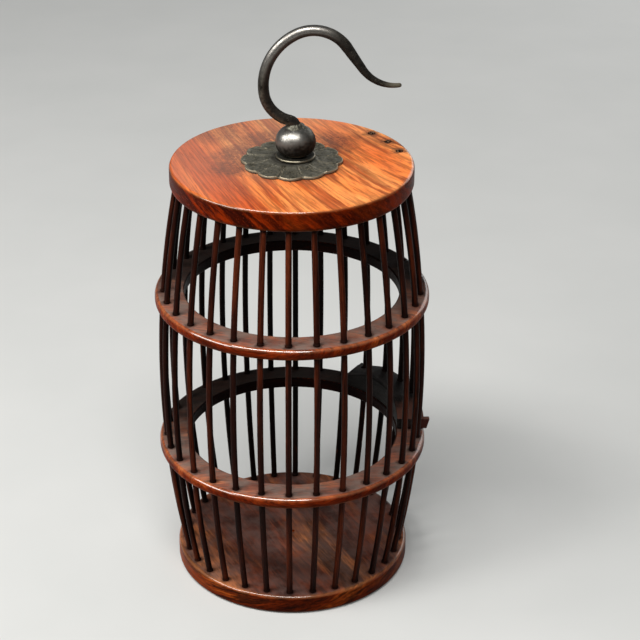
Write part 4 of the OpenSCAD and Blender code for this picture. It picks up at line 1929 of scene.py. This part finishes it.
    def build(self) -> None:
        """Makes the hook's pieces and dresses the washer under the board."""
        for piece, finish, nodes in (
            (self.rod(), self.finishes.rod, ["hook_rod"]),
            (self.ball(), self.finishes.hook, ["hook_ball"]),
            (self.solder(), self.finishes.hook, []),
            (self.collar(), self.finishes.hook, ["hook_collar"]),
        ):
            piece.data.transform(Matrix.Translation((self.sizes.shank_off * MM, 0.0, 0.0)))
            seat(piece, "hook", "hook_metal", finish, *nodes)
        dress("shank_washer", self.finishes.petal)


# Studio


@dataclass(frozen=True)
class Lamp:
    """One soft area lamp: where it hangs in millimetres, and its face in metres."""

    name: str
    place: Point
    width: float
    height: float
    watts: float
    colour: Point = (1.0, 0.985, 0.96)

    def hang(self, aim: Point) -> None:
        """Hangs the lamp so that it looks at a point.

        Args:
            aim: the point, in millimetres.
        """
        light = bpy.data.lights.new(self.name, "AREA")
        light.shape = "RECTANGLE"
        light.size, light.size_y = self.width, self.height
        light.energy, light.color = self.watts, self.colour
        lamp = bpy.data.objects.new(self.name, light)
        lamp.location = Vector(self.place) * MM
        lamp.rotation_euler = (Vector(aim) * MM - lamp.location).to_track_quat("-Z", "Y").to_euler()
        bpy.context.scene.collection.objects.link(lamp)


@dataclass
class Studio:
    """Pale floor, soft light and the camera."""

    lens: float = 107.826
    sensor: float = 36.0
    stand: Point = (23.333, -851.085, 578.216)
    right: Point = (0.999892, 0.013551, 0.004813)
    up: Point = (-0.010513, 0.460512, 0.887591)
    aim: Point = (0.0, 0.0, 120.0)
    floor_rings: tuple[float, ...] = (1.0, 300.0, 1200.0, 4000.0)
    floor_sides: int = 64
    floor_dark: Colour = (0.62, 0.628, 0.616, 1.0)
    floor_pale: Colour = (0.65, 0.655, 0.643, 1.0)
    floor_bounce: Colour = (0.16, 0.15, 0.14, 1.0)
    floor_glow: Colour = (0.08, 0.082, 0.08, 1.0)
    room: Colour = (0.93, 0.96, 1.0, 1.0)
    room_strength: float = 0.1
    lamps: tuple[Lamp, ...] = (
        Lamp("key_lamp", (-250.0, -600.0, 1400.0), 1.2, 0.3, 19.0),
        Lamp("side_lamp", (-1050.0, -380.0, 900.0), 0.9, 0.4, 9.0),
        Lamp("back_lamp", (650.0, 1050.0, 520.0), 1.0, 0.6, 2.6, (1.0, 1.0, 1.0)),
    )

    def floor(self) -> None:
        """Lays a plain pale floor that throws little light back at the cage."""
        rings = [[polar(r, a) for a in around(self.floor_sides)] for r in self.floor_rings]
        points, faces = skin(rings, Ends.OPEN)
        floor = mesh_piece("pale_floor", points, faces + [list(range(self.floor_sides))])
        material = bpy.data.materials.new("pale_floor")
        material.use_nodes = True
        s = NodeSheet(material.node_tree)
        pale = s.ramp(s.noise(s.position(), 0.012, 3.0), (0.3, self.floor_dark), (0.7, self.floor_pale))
        rays = s.add("ShaderNodeLightPath").outputs
        seen = s.math("MAXIMUM", rays["Is Camera Ray"], rays["Is Glossy Ray"])
        seen = s.math("MAXIMUM", seen, rays["Is Transmission Ray"])
        s.feed(
            material.node_tree.nodes["Principled BSDF"],
            Base_Color=s.blend(seen, self.floor_bounce, pale),
            Emission_Color=s.blend(seen, (0.0, 0.0, 0.0, 1.0), self.floor_glow),
            Emission_Strength=1.0,
            Roughness=0.9,
            Specular_IOR_Level=0.0,
        )
        floor.data.materials.append(material)

    def light(self) -> None:
        """Lights the cage from above in front, from the left and weakly from behind, in a dim room."""
        world = bpy.data.worlds.new("studio_room")
        world.use_nodes = True
        room = world.node_tree.nodes["Background"]
        NodeSheet(world.node_tree).feed(room, Color=self.room, Strength=self.room_strength)
        bpy.context.scene.world = world
        for lamp in self.lamps:
            lamp.hang(self.aim)

    def camera(self) -> None:
        """Stands the camera where the picture was taken."""
        lens = bpy.data.cameras.new("front_camera")
        lens.sensor_width, lens.lens = self.sensor, self.lens
        lens.clip_start, lens.clip_end = 0.01, 50.0
        camera = bpy.data.objects.new("front_camera", lens)
        right, up = Vector(self.right).normalized(), Vector(self.up).normalized()
        turn = Matrix((right, up, right.cross(up))).transposed().to_4x4()
        camera.matrix_world = Matrix.Translation(Vector(self.stand) * MM) @ turn
        bpy.context.scene.collection.objects.link(camera)
        bpy.context.scene.camera = camera

    def build(self) -> None:
        """Sets up floor, light, camera and the view."""
        self.floor()
        self.light()
        self.camera()
        bpy.context.scene.view_settings.view_transform = "Standard"
        log.info("studio ready")


def main() -> None:
    """Builds the cage piece by piece."""
    logging.basicConfig(level=logging.INFO, format="%(message)s")
    Studio().build()
    sizes = CageSizes()
    finishes = Finishes.make(sizes)
    Boards(finishes).build()
    BowedBars(sizes, finishes).build()
    LiftDoor(sizes, finishes).build()
    PetalPlate(sizes, finishes).build()
    Hook(sizes, finishes).build()


if __name__ == "__main__":
    main()
